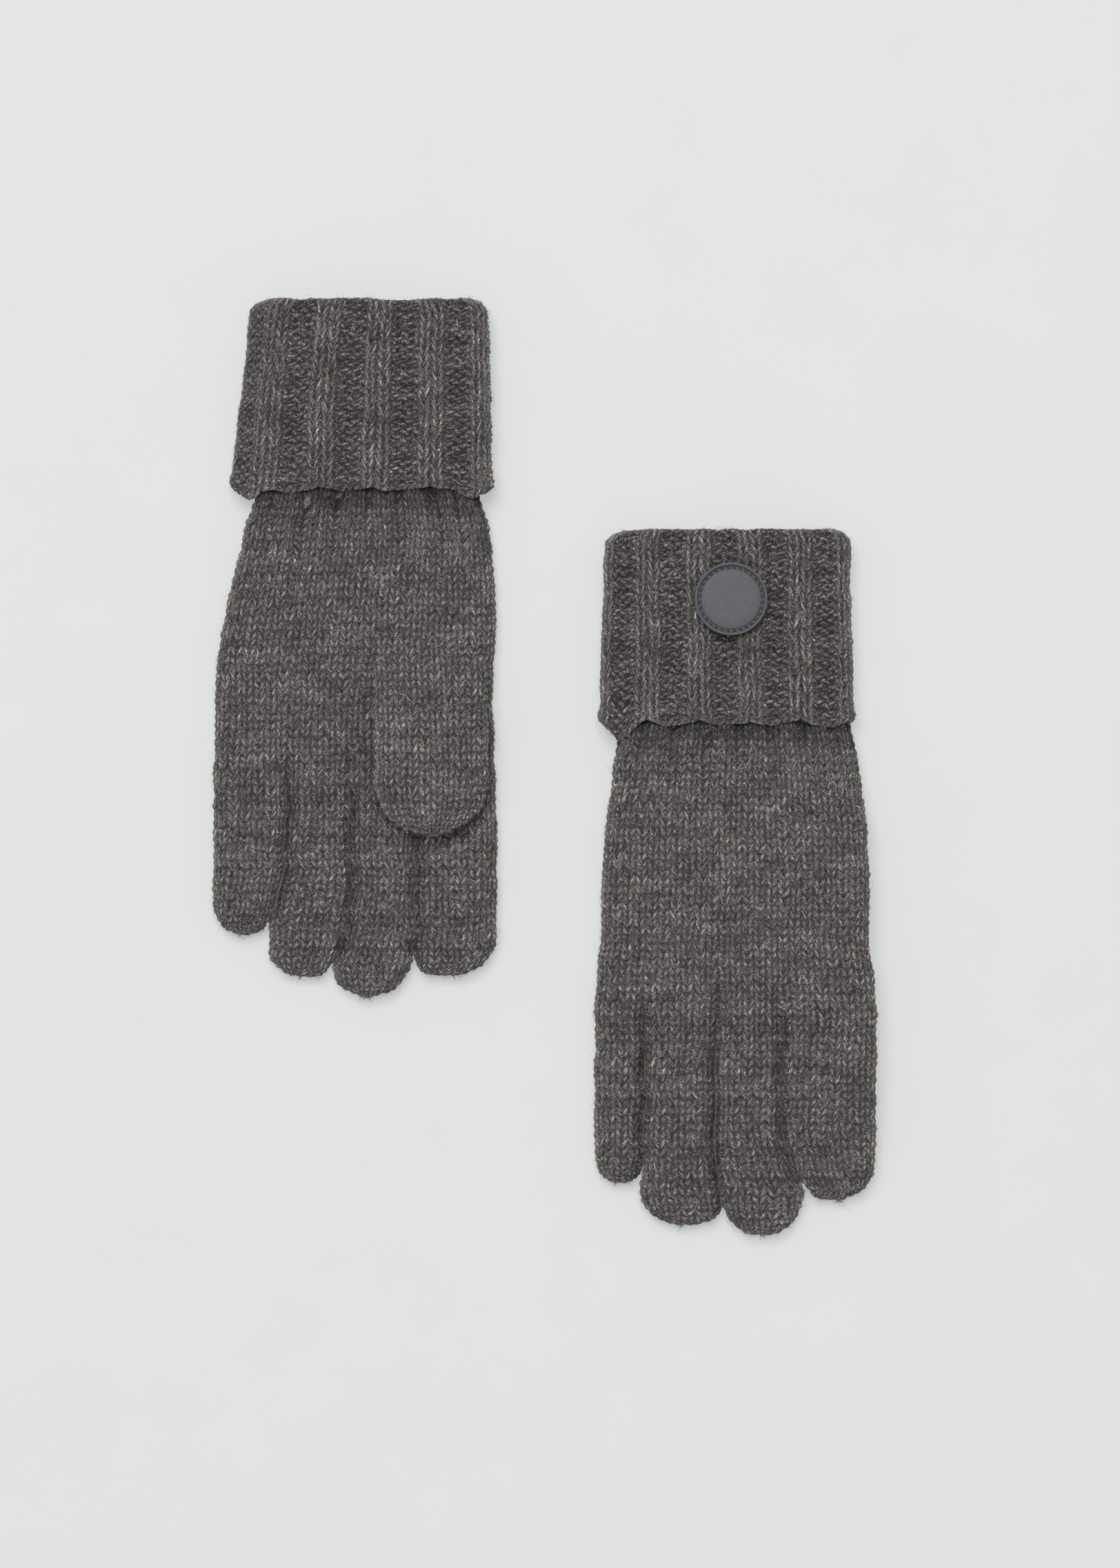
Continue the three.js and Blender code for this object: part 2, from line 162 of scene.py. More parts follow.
# Hand, which is gathered into the cuff, with a painted shadow under its hem
HAND_START = 51.0
HAND_HALF = 4.2
PALM_SWELL = 46.0
PALM_FLARE = 29.7
GATHERS = 16
GATHER_START = 56.0
GATHER_DEPTH = 3.6
GATHER_FADE = 12.0
# Painted shade in the gathered folds
GATHER_SHADE = 0.5
GATHER_TUCK = 0.7
# Painted shadow on the hand under the hem
HEM_SHADE = 0.58
HEM_SHADE_PLACE = 4
HEM_SHADE_WIDTH = 6.0

# Fingers, pressed side by side from the crotch to their tips
CROTCH = 142.0
LAST_COURSE = 59
PRESS = 0.45
PRESS_LAP = 0.15
PRESS_FADE = 0.6
# Painted shade where the fingers press together: the crest there is dimmed
PRESS_SHADE = 0.55
CLEAR = 9.0
PAST_TIP = 7
CREASE_LEAD = 8
CREASE_TURN = 18
NOTCH_REACH = 31.0
VALLEY_START = 124.0
# Painted shade beside the creases, wider on the shady side
VALLEY_SHADE = 0.5
VALLEY_WIDE = 4.6
VALLEY_NARROW = 1.7
TONGUE_DROP = 0.7
TIP_SQUARE = 0.92
TIP_PRESSED = 0.45
TIP_CONVERGE = 0.6
TIP_FADE = 2

# Thumb, which rises out of the palm at its root
THUMB_ROOT = 93.0
THUMB_RISE = 30.0
THUMB_WIDTH = 33.0
THUMB_INSET = 1.2
THUMB_FULL = 7.6
THUMB_GAP = 0.3
THUMB_SPREAD = 2.5
THUMB_ROUND = 15.0
THUMB_FABRIC = 1.5
ROOT_SUNK = 1.8
ROOT_DEEP = 1.4
ROOT_INSET = 1.2
ROOT_OPEN = 8
ROOT_OPENING = 14
ROOT_LENS = 0.8
LENS_START = 6
LENS_BLEND = 20.0
# Painted shade on the thumb's rising root
ROOT_SHADE = 0.7
PALM_SINK = 1.4
SINK_END = 116.0
# Painted shadow on the palm under the thumb's tip, and painted shade beside its edge
THUMB_SHADE = 0.4
THUMB_SIDE_SHADE = 0.2
THUMB_SHADE_WIDTH = 3.0

# How the right hand drapes over the thumb beneath it
DRAPE_HEIGHT = 7.9
DRAPE_START = 58.0
DRAPE_RISE = 40.0
DRAPE_FALL = 151.2
DRAPE_FADE = 46.0
DRAPE_MARGIN = 3.0
DRAPE_TILT = 0.5

# Badge: insets from its radius, with heights over its foot, its top and its face, and the stitches
BADGE_SEGMENTS = 192
BADGE_RIM = 0.5
BADGE_CROWN = 0.04
BADGE_FOOT = ((0.35, 0.0), (0.08, 0.12), (0.0, 0.4))
BADGE_TOP = ((0.0, -0.42), (0.07, -0.2), (0.22, -0.06), (0.42, 0.0), (0.62, -0.06), (0.76, -0.2))
BADGE_FACE = (
    (0.84, -0.05), (0.95, -0.38), (1.15, -0.48), (1.65, -0.48), (1.85, -0.38), (1.96, -0.08),
    (2.1, 0.0), (4.5, 0.02),
)
STITCHES = 32
STITCH_SHARE = 0.40
STITCH_INSET = 1.4
STITCH_SUNK = 0.42
STITCH_RADIUS = 0.27
STITCH_FLAT = 0.8
STITCH_ARCH = 0.24
STITCH_LEAN = 0.14
STITCH_SIDES = 8
STITCH_RINGS = 9

# Surroundings, in metres and watts
FLOOR_REACH = 3.0
FLOOR_DROP = 0.0004
FLOOR_EVENNESS = 0.55
FLOOR_COLOUR = (0.745, 0.760, 0.7525, 1.0)
ROOM_LIGHT = 0.38
LAMP_PLACE = (-0.4, 1.2, 3.5)
LAMP_SIZE = 2.0
LAMP_WATTS = 108.0
CAMERA_PLACE = (0.0050, -0.0048, 1.6)
VIEW_WIDTH = 0.3248
SENSOR = 36.0

# The left and the right glove as they lie. A shift is how far a middle lies from the fold's. The
# hem lies hem_rise nearer the fold than the cuff's length says, and hangs at its corners. rib_crest
# is how far the middle rib lies to the side, and rib_stretch how much wider it is drawn. creases
# are how far each line between two fingers bends aside at the knuckle, the middle and the tip, and
# edge_shift is the same for the outer edges. shady_side is the side of the creases where their
# painted shade reaches further.
GLOVES = {
    "fold_x": (-49.8, 53.2), "fold_width": (70.0, 72.0), "palm_up": (True, False),
    "hem_width": (77.0, 74.2), "hem_shift": (-2.4, 0.3), "hem_rise": (1.1, 0.2),
    "hem_hang": ((3.2, 3.0), (5.2, 0.6)), "rib_crest": (3.1, 6.2), "rib_stretch": (0.045, 0.0),
    "wrist_width": (66.4, 68.0), "wrist_shift": (-1.2, 2.8), "palm_width": (81.0, 77.6),
    "hand_wales": (50, 48), "edge_shift": ((1.0, 0.8), (0.2, -0.4)), "shady_side": (1, -1),
    "creases": (
        ((4.0, 2.7, -1.9), (2.3, 2.8, -2.7), (2.4, 0.8, -0.8)),
        ((-1.5, -1.9, -2.8), (-2.0, -2.3, -0.3), (-2.6, -2.8, 3.2)),
    ),
}
SIDES = ("left", "right")
FINGERS = ("little", "ring", "middle", "index")
TIP_ROUND = (9.0, 9.5, 10.0, 11.0)


def mix(low, high, share):
    return low + (high - low) * share


def unit(share):
    return clip(share, 0, 1)


def ease(share):
    """A climb from 0 to 1 with an even slope and rounded ends."""
    s = unit(share)
    curve = 2 * EASE_ROUND * (1 - EASE_ROUND)
    middle = (s - EASE_ROUND / 2) / (1 - EASE_ROUND)
    low = s * s / curve
    high = 1 - (1 - s) ** 2 / curve
    return where(s < EASE_ROUND, low, where(s > 1 - EASE_ROUND, high, middle))


def hump(away, width):
    """A smooth hump of height 1, almost gone two widths away."""
    return np.exp(-(away / width) ** 2)


def box_of(node):
    """The two corners of a CAD node's box, in millimetres."""
    return np.array(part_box(node)) / MM


def chance(i, j, seed):
    """A seeded number from -1 to 1 for each pair of whole numbers."""
    table = np.random.default_rng(seed).uniform(-1, 1, (97, 89))
    return table[np.asarray(i).astype(int) % 97, np.asarray(j).astype(int) % 89]


def wander(p, q, cell, seed):
    """Smooth seeded noise from -1 to 1, with lumps about one cell across."""
    lattice = np.random.default_rng(seed).uniform(-1, 1, (64, 64))
    a, b = np.asarray(p) / cell, np.asarray(q) / cell
    i, j = np.floor(a).astype(int), np.floor(b).astype(int)
    s, t = a - i, b - j
    s, t = s * s * (3 - 2 * s), t * t * (3 - 2 * t)
    corner = lambda di, dj: lattice[(i + di) % 64, (j + dj) % 64]
    return mix(mix(corner(0, 0), corner(1, 0), s), mix(corner(0, 1), corner(1, 1), s), t)


def lumps(p, q, *kinds):
    """Noises of a size, cell and seed each, added up."""
    return sum(size * wander(p, q, cell, seed) for size, cell, seed in kinds)


# Sections


def corner_of(half_x, half_z, side):
    """Radius of the corners, and half of the flat top and side."""
    radius = maximum(half_z - side / 2, half_z * CORNER_SHARE)
    radius = minimum(radius, half_x)
    return radius, half_x - radius, half_z - radius


def tube_point(turn, half_x, half_z, side=0.0, inset=0.0):
    """A point of a flat tube's section, for a turn from -1 to 1 that is 0 in the middle of its top.
    side is the height of its flat sides, and inset moves the point inward."""
    radius, top, wall = corner_of(half_x, half_z, side)
    quarter = pi * radius / 2
    along = abs(turn) * (2 * top + 2 * wall + 2 * quarter)
    safe = maximum(radius, TINY)
    over = clip((along - top) / safe, 0, pi / 2)
    down = clip(along - top - quarter, 0, 2 * wall)
    under = clip((along - top - quarter - 2 * wall) / safe, 0, pi / 2)
    past = maximum(along - top - 2 * quarter - 2 * wall, 0)
    left = maximum(radius - inset, THINNEST)
    x = minimum(along, top) + left * sin(over) - left * (1 - cos(under)) - past
    z = wall + left * cos(over) - down - left * sin(under)
    return np.sign(turn) * x, z


def half_round(half_x, half_z, side=0.0):
    radius, top, wall = corner_of(half_x, half_z, side)
    return 2 * top + 2 * wall + pi * radius


class Glove:
    """The shape of one glove as it lies, without its stitches."""

    def __init__(self, side):
        self.side = side
        for key, pair in GLOVES.items():
            setattr(self, key, pair[SIDES.index(side)])
        low, high = box_of(f"{side}_turned_cuff")
        self.fold_y = high[1]
        self.cuff_middle = (low[2] + high[2]) / 2
        self.cuff_half = (high[2] - low[2]) / 2
        low, high = zip(*(box_of(f"{side}_{finger}_root") for finger in FINGERS))
        between = [(a[0] + b[0]) / 2 for a, b in zip(high, low[1:])]
        self.edges = [low[0][0], *between, high[-1][0]]
        self.knuckles = [self.fold_y - corner[1] for corner in low]
        ends = [*(f"{finger}_tip" for finger in FINGERS), "thumb"]
        *self.ends, self.thumb_end = (self.fold_y - box_of(f"{side}_{n}")[0][1] for n in ends)
        thumb_high = self.edges[-1] - THUMB_INSET
        self.thumb_low = thumb_high - THUMB_WIDTH
        self.thumb_middle = (self.thumb_low + thumb_high) / 2
        self.edges[0] += self.edge_shift[0]
        self.edges[-1] += self.edge_shift[1]
        self.low, self.high = self.edges[0], self.edges[-1]
        self.knuckle_shift = (self.low + self.high) / 2 - self.fold_x

    def lift(self, x, d):
        """How high the fabric drapes over the thumb beneath the hand."""
        if self.palm_up:
            return 0 * (x + d)
        across = ease((x - self.low) / (self.thumb_low - DRAPE_MARGIN - self.low))
        rise = ease((d - DRAPE_START) / DRAPE_RISE)
        fall = ease((d - DRAPE_FALL) / DRAPE_FADE)
        return DRAPE_HEIGHT * across * rise * (1 - fall)

    def middle_height(self, d):
        return mix(self.cuff_middle, HAND_HALF, ease((d - CUFF_LENGTH) / WRIST_DROP))

    def cuff_row(self, d):
        """Middle and half width of the cuff. The other rows are the same."""
        share = d / CUFF_LENGTH
        half = mix(self.fold_width, self.hem_width, share) / 2
        return self.fold_x + self.hem_shift * share, half

    def wrist_row(self, d):
        inside = 2 * self.cuff_row(minimum(d, CUFF_LENGTH))[1] - WRIST_CLEAR
        in_cuff = self.hem_shift * minimum(d, CUFF_LENGTH) / CUFF_LENGTH
        shift = mix(in_cuff, self.wrist_shift, ease((d - CUFF_LENGTH) / WRIST_SWAY))
        return self.fold_x + shift, minimum(inside, self.wrist_width) / 2

    def hand_row(self, d):
        shift = mix(self.wrist_shift, self.knuckle_shift, ease((d - WRIST_END) / PALM_SWELL))
        swell = unit((d - CUFF_LENGTH) / (WRIST_END + PALM_SWELL - CUFF_LENGTH))
        palm = mix(self.wrist_width, self.palm_width, 1 - (1 - swell) ** 2)
        flare = ease((d - WRIST_END - PALM_SWELL) / PALM_FLARE)
        return self.fold_x + shift, mix(palm, self.high - self.low, flare) / 2

    def finger_row(self, f, d):
        low = self.crease(f, d) - PRESS * (f > 0)
        high = self.crease(f + 1, d) + PRESS * (f + 1 < len(FINGERS))
        return (low + high) / 2, (high - low) / 2

    def crease(self, k, d):
        """Where two fingers meet, or the outer edge of the outer ones."""
        if k in (0, len(FINGERS)):
            return self.edges[k] + 0 * d
        knuckle, middle, tip = self.creases[k - 1]
        notch = min(self.ends[k - 1], self.ends[k])
        shift = mix(knuckle, middle, ease((d - CROTCH + CREASE_LEAD) / CREASE_TURN))
        late = unit((d - notch + NOTCH_REACH) / (NOTCH_REACH - 3)) ** 3
        bend = lumps(d, 0 * d, (0.35, 5.3, 50 + k), (0.2, 2.2, 60 + k))
        return self.edges[k] + mix(shift, tip, late) + bend

    def valley_shade(self, away, d, side):
        """Painted shade beside a crease: how much darker the colour is made to its right for 1
        or its left for -1.
        """
        uneven = 1 + 0.35 * wander(d, 0 * d, 9.0, 41) + 0.25 * wander(d, 0 * d, 3.1, 42)
        width = where(side * self.shady_side > 0, VALLEY_WIDE, VALLEY_NARROW)
        return VALLEY_SHADE * uneven * (1 - ease(away / width))

    def wales_from(self, d, x, half_x, half_z):
        """Number and phase of the wales of a tube that grows out of the hand."""
        middle, half = self.hand_row(d)
        wale = 2 * half_round(half, HAND_HALF, SIDE_FLAT) / self.hand_wales
        wales = int(round(2 * half_round(half_x, half_z, SIDE_FLAT) / wale))
        return wales, ((x - middle) / wale + self.hand_wales / 2 - wales / 2) % 1

    def thumb_form(self, x, d):
        """Heights of the thumb's top, widest line and underside, its half width, and its crown's
        share at x from its middle."""
        rise = ease((d - THUMB_ROOT) / THUMB_RISE)
        top = mix(-ROOT_SUNK, THUMB_FULL + THUMB_GAP, rise)
        opened = ease((d - THUMB_ROOT - ROOT_OPEN) / ROOT_OPENING)
        bottom = mix(-ROOT_SUNK - ROOT_DEEP, THUMB_GAP, opened)
        lens = ROOT_LENS * (1 - ease((d - THUMB_ROOT - LENS_START) / LENS_BLEND))
        widest = mix((top + bottom) / 2, bottom + THUMB_GAP, lens)
        width = (THUMB_WIDTH + THUMB_SPREAD * (1 - rise)) / 2
        crown = mix(1.0, maximum(1 - (x / width) ** 2, 0) ** 0.8, lens)
        return top, widest, bottom, width, crown

    def thumb_limit(self, d):
        """Where the thumb's outer side stops short of the hand's."""
        rise = ease((d - THUMB_ROOT) / THUMB_RISE)
        middle, half = self.hand_row(d)
        return middle + half - THUMB_INSET - ROOT_INSET * (1 - rise)

    def under_thumb(self, x, d):
        """How far the thumb's root covers the palm, from 0 to 1."""
        if not self.palm_up:
            return 0 * (x + d)
        width = self.thumb_form(0.0, d)[3]
        away = x - self.thumb_middle + width - THUMB_WIDTH / 2
        top, widest, _, _, crown = self.thumb_form(away, d)
        corner = unit((abs(away) - width) / (THUMB_FULL / 2) + 1)
        surface = widest + (top - widest) * crown * np.sqrt(1 - corner ** 2)
        inside = minimum(width - abs(away), self.thumb_limit(d) - x)
        return ease(inside / 1.5) * ease((surface + 0.1) / 0.8) * (1 - ease((d - SINK_END) / 10))

    def wobble(self, x, y, z):
        """Small unevenness, the same for all pieces of the glove."""
        seed = 3 if self.palm_up else 11
        dx = lumps(x, y, (0.4, 17, seed), (0.32, 3.7, seed + 1))
        dy = lumps(x, y, (0.4, 14, seed + 2), (0.4, 3.9, seed + 3))
        dz = lumps(x, y, (0.35, 15, seed + 4), (0.2, 5, seed + 5)) - 0.35
        return x + dx, y + dy, z + unit(z / 6) * dz


# Stitches


def knit_strand(wale, leg, reach):
    """How near its strand's top a point of a knit stitch lies, from 0 to 1."""
    across = abs(2 * (wale % 1) - 1)
    column, course = np.floor(2 * wale), np.floor(leg)
    share = leg % 1
    share = share + STRAND_SHIFT * sin(pi * share) * chance(column, course, 8)
    strand = maximum(4 * share * (1 - share), 0)
    ends = maximum(1 - (abs(2 * across - 1) / reach) ** 2, 0) ** STRAND_TAPER
    return strand * ends * (1 - UNEVEN / 2 + UNEVEN * chance(column, course, 5))


def purl_strand(wale, leg):
    """The same for a purl stitch: heads and feet of loops by turns."""
    across = abs(2 * (wale % 1) - 1)
    share = (2 * leg) % 1
    strand = maximum(4 * share * (1 - share), 0)
    foot = (2 * leg) % 2 >= 1
    ends = maximum(1 - (where(foot, 1 - across, across) / PURL_REACH) ** 2, 0)
    size = chance(np.floor(wale + 0.5 * foot), np.floor(2 * leg), 6)
    return strand * ends * (1 - UNEVEN / 2 + UNEVEN * size)


def leg_offset(wale, purl, rise):
    """How far a stitch has run along the glove from the middle of its wale."""
    across = abs(2 * (wale % 1) - 1)
    slant = PURL_SLANT * sin(2 * pi * wale)
    return where(purl, rise + PURL_WAVE * (across ** 2 - 1) + slant, rise * across)


def is_purl(wale, ribbed):
    return (np.floor(wale + TINY).astype(int) % RIB_WALES >= 2) & ribbed


def stitch_rows(first, last):
    """Rows of the mesh, in courses, closer where a strand meets the next."""
    courses = arange(int(np.floor(first)) - 3, int(np.ceil(last)) + 1)
    share = (1 - cos(pi * arange(ROWS_IN_COURSE) / ROWS_IN_COURSE)) / 2
    return (courses[:, None] + share[None, :]).ravel()


def column_places(wales, phase=0.0):
    """Columns of the mesh, in wales around a skin that starts at a phase."""
    places = arange(COLUMNS_IN_WALE) / COLUMNS_IN_WALE
    counts = arange(-1, wales + 1)[:, None] + places[None, :] - phase % 1
    counts = np.unique(np.round(counts.ravel(), 9))
    counts = counts[(counts > COLUMN_GAP) & (counts < wales - COLUMN_GAP)]
    return concatenate([[0.0], counts, [float(wales)]])


def knit_grid(wales, start, end, ribbed=False, phase=0.0, first=None, last=None):
    """Wale, distance, leg and kind of each point of a knitted face. first and last are courses."""
    wale = column_places(wales, phase)
    count = wale + phase
    rows = stitch_rows(start / COURSE, end / COURSE)
    if first is not None:
        rows, start = rows[rows > first - TINY], -np.inf
    if last is not None:
        rows, end = rows[rows < last + TINY], np.inf
    purl = is_purl(count, ribbed)
    offset = leg_offset(count, purl, RIB_RISE if ribbed else LEG_RISE)
    d = COURSE * rows[:, None] + offset[None, :]
    keep = np.flatnonzero((d.max(1) > start) & (d.min(1) < end))
    d = d[max(keep[0] - 1, 0):keep[-1] + 2]
    d = clip(d, start, end)
    leg = (d - offset[None, :]) / COURSE
    wale, count = (np.broadcast_to(v, d.shape) for v in (wale, count))
    return wale, count, d, leg, np.broadcast_to(purl, d.shape)


def stitch_relief(count, leg, purl, ribbed):
    """Height of the stitches under the face, and how near a strand's top they are."""
    knit = knit_strand(count, leg, RIB_REACH if ribbed else KNIT_REACH)
    back = purl_strand(count, leg)
    relief = RIB_RELIEF if ribbed else KNIT_RELIEF
    height = where(purl, PURL_RELIEF * (back - 1), relief * (knit - 1))
    light = 1 + UNEVEN_LIGHT * chance(np.floor(2 * count), np.floor(leg), 7)
    return height, where(purl, PURL_CREST * back, knit) * light


def normals_of(base, wale, d):
    """Outward direction of a skin."""
    e = SLOPE_STEP
    across = stack(base(wale + e, d), -1) - stack(base(wale - e, d), -1)
    along = stack(base(wale, d + e), -1) - stack(base(wale, d - e), -1)
    normal = np.cross(along, across)
    size = np.linalg.norm(normal, axis=-1, keepdims=True)
    return where(size > 1e-7, normal / maximum(size, 1e-12), np.array([0.0, -1.0, 0.0]))


class Skin:
    """Grids of points gathered into one closed mesh."""

    def __init__(self):
        self.grids, self.maps, self.lights, self.fibres = [], [], [], []

    def add(self, points, place, crest=0.5, shade=1.0):
        """Adds a grid of points, and the place on the yarn, crest and painted shade of each."""
        self.grids.append(points)
        self.maps.append(place)
        self.lights.append(stack(np.broadcast_arrays(crest, shade, points[..., 0])[:2], -1))

    def fray(self, points, normals, crest, shade):
        """Grows loose fibres, most of them where the fabric faces sideways and none in a crease."""
        rng = np.random.default_rng(points.shape[0] * 131 + points.shape[1])
        shade = np.broadcast_to(shade, crest.shape)
        on_top = (crest > FIBRE_CREST) & (shade > FIBRE_SHADE)
        on_top[[0, -1]] = False
        points, normals, shade = points[on_top], normals[on_top], shade[on_top]
        facing = abs(normals[:, 2]) ** 0.35
        share = where(normals[:, 2] > -0.4, mix(FIBRE_SIDE, 1, facing), FIBRE_UNDER)
        chosen = rng.random(len(points)) < FIBRE_SHARE * share
        root, normal = points[chosen], normals[chosen]
        count = len(root)
        tangent = np.cross(normal, rng.normal(size=(count, 3)))
        tangent /= maximum(np.linalg.norm(tangent, axis=1, keepdims=True), TINY)
        bend = np.cross(normal, tangent) * rng.uniform(-1, 1, (count, 1))
        length = rng.gamma(FIBRE_SPREAD, FIBRE_LENGTH / FIBRE_SPREAD, (count, 1))
        lift = rng.uniform(*FIBRE_LIFT, (count, 1)) + 0.5 * (1 - facing[chosen, None])
        share = np.linspace(0, 1, FIBRE_STEPS + 1)[None, :, None]
        along = share * length[:, None]
        rise = (lift[:, None] * along) * (1 - 0.55 * share) - FIBRE_DEPTH
        line = root[:, None] + tangent[:, None] * along * 0.85
        line = line + normal[:, None] * rise + bend[:, None] * along * share * 0.6
        lean = rng.uniform(0, 2 * pi, (count, 1))
        corner = lean + 2 * pi * arange(FIBRE_CORNERS)[None, :] / FIBRE_CORNERS
        across, up = np.cross(tangent, normal)[:, None], normal[:, None]
        out = across * cos(corner)[..., None] + up * sin(corner)[..., None]
        thick = FIBRE_RADIUS * (1 - 0.6 * share[..., None])
        ring = line[:, :, None] + out[:, None] * thick
        ring[..., 2] = maximum(ring[..., 2], FLOOR_CLEAR)
        place = rng.uniform(0, FIBRE_PATCH, (count, 2))
        maps = place[:, None, None, :] + np.zeros(ring.shape[:3] + (2,))
        maps[..., 0] += along
        # Each fibre's crest gives it a painted highlight, and it keeps its root's painted shade
        light = stack([rng.uniform(*FIBRE_LIGHT, count), shade[chosen]], -1)
        self.fibres.append((ring, maps, light))

    def mesh(self, name, flip=False):
        """Joins the grids into one ring, merges points that coincide and adds the fibres."""
        points = concatenate(self.grids)
        light = concatenate(self.lights).reshape(-1, 2)
        rows, columns = points.shape[:2]
        index = arange(rows * columns).reshape(rows, columns)
        after = np.roll(index, -1, axis=0)
        quads = stack([index[:, :-1], after[:, :-1], after[:, 1:], index[:, 1:]], -1)
        quads = quads.reshape(-1, 4)[:, ::-1] if flip else quads.reshape(-1, 4)
        flat = points.reshape(-1, 3)
        _, first, merged = np.unique(
            np.round(flat / MERGE_CELL).astype(np.int64), axis=0, return_index=True,
            return_inverse=True,
        )
        maps = concatenate(self.maps).reshape(-1, 2)
        parts = [(flat[first], maps, light[first], merged.ravel()[quads], quads)]
        for ring, place, bright in self.fibres:
            index = arange(ring[..., 0].size).reshape(ring.shape[:3])
            near, far = index[:, :-1], index[:, 1:]
            sides = stack([near, np.roll(near, -1, 2), np.roll(far, -1, 2), far], -1)
            ends = [index[:, 0, ::-1][:, [0, 1, 2, 2]], index[:, -1][:, [0, 1, 2, 2]]]
            strips = concatenate([sides.reshape(-1, 4)] + ends)
            vertex, corner = (sum(len(part[k]) for part in parts) for k in (0, 1))
            bright = np.repeat(bright, ring.shape[1] * ring.shape[2], axis=0)
            maps = place.reshape(-1, 2)
            parts.append((ring.reshape(-1, 3), maps, bright, strips + vertex, strips + corner))
        return mesh_of(name, *map(concatenate, zip(*parts)))


def mesh_of(name, vertices, maps, light, faces, sources):
    """A smooth mesh from quads, without those that have no area."""
    same = faces == np.roll(faces, -1, axis=1)
    opposite = (faces[:, 0] == faces[:, 2]) | (faces[:, 1] == faces[:, 3])
    good = (same.sum(1) <= 1) & ~opposite
    faces, sources, corners = faces[good], sources[good], ~same[good]
    sizes = corners.sum(1)
    mesh = bpy.data.meshes.new(name)
    mesh.vertices.add(len(vertices))
    mesh.vertices.foreach_set("co", (vertices * MM).astype(np.float32).ravel())
    mesh.loops.add(sizes.sum())
    mesh.loops.foreach_set("vertex_index", faces[corners].astype(np.int32))
    mesh.polygons.add(len(faces))
    mesh.polygons.foreach_set("loop_start", (np.cumsum(sizes) - sizes).astype(np.int32))
    mesh.polygons.foreach_set("loop_total", sizes.astype(np.int32))
    mesh.polygons.foreach_set("use_smooth", np.ones(len(faces), bool))
    for kind, values in zip(("crest", "shade"), light.astype(np.float32).T):
        mesh.attributes.new(kind, "FLOAT", "POINT").data.foreach_set("value", values.copy())
    layer = mesh.uv_layers.new(name="yarn")
    layer.uv.foreach_set("vector", maps[sources[corners]].astype(np.float32).ravel())
    mesh.update(calc_edges=True)
    mesh.validate()
    return mesh


def knit_skin(skin, base, wales, start, end, soften=None, **courses):
    """Adds a knitted face. base(wale, d) gives its points without their stitches, and soften
    changes the stitches and paints shade on them."""
    ribbed = courses.get("ribbed", False)
    wale, count, d, leg, purl = knit_grid(wales, start, end, **courses)
    height, crest = stitch_relief(count, leg, purl, ribbed)
    normals = normals_of(base, wale, d)
    height = height * mix(SIDE_RELIEF, 1, abs(normals[..., 2]))
    shade = 1.0
    if soften is not None:
        height, crest, shade = soften(count, d, leg, height, crest)
    points = stack(base(wale, d), -1) + normals * height[..., None]
    # Painted shade between courses, where each stitch tucks under the next; ribbed fabric has none
    row = (d - LEG_RISE / 2) / COURSE
    row_shade = 0.0 if ribbed else ROW_SHADE * (1 + cos(2 * pi * row)) / 2
    shaded = maximum(shade, DARKEST) * (1 - row_shade)
    skin.add(points, stack([count * WALE, leg * COURSE], -1), crest, shaded)
    skin.fray(points, normals, crest, shade)


def plain_skin(skin, base, wales, distances, phase=0.0):
    """Adds the inner face of a fabric, with few rows."""
    wale = column_places(wales, phase)
    wale, d = np.broadcast_arrays(wale[None, :], np.asarray(distances, float)[:, None])
    points = stack(base(wale, d), -1)
    skin.add(points, stack([wale * WALE, d], -1))


def fabric(place, wales, start, end, inner, deep=FABRIC, **kind):
    """A knitted face, and a plain back with rows at the inner distances. place(wale, d, depth)
    gives their points."""
    skin = Skin()
    knit_skin(skin, lambda c, d: place(c, d, 0.0), wales, start, end, **kind)
    plain_skin(skin, lambda c, d: place(c, d, deep), wales, inner, kind.get("phase", 0.0))
    return skin


def added(name, data, place=(0.0, 0.0, 0.0)):
    obj = bpy.data.objects.new(name, data)
    obj.location = place
    bpy.context.scene.collection.objects.link(obj)
    return obj


def piece(name, mesh, material, slot, *nodes):
    obj = added(name, mesh)
    mesh.materials.append(material)
    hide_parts(*nodes)
    return obj


def knitted(glove, part, skin, material, slot, *nodes):
    name = f"{glove.side}_{part}_knit"
    return piece(name, skin.mesh(name), material, slot, *(f"{glove.side}_{n}" for n in nodes))


def steps(start, end, length):
    count = max(1, int(np.ceil(abs(end - start) / length)))
    return np.linspace(start, end, count + 1)


# Materials


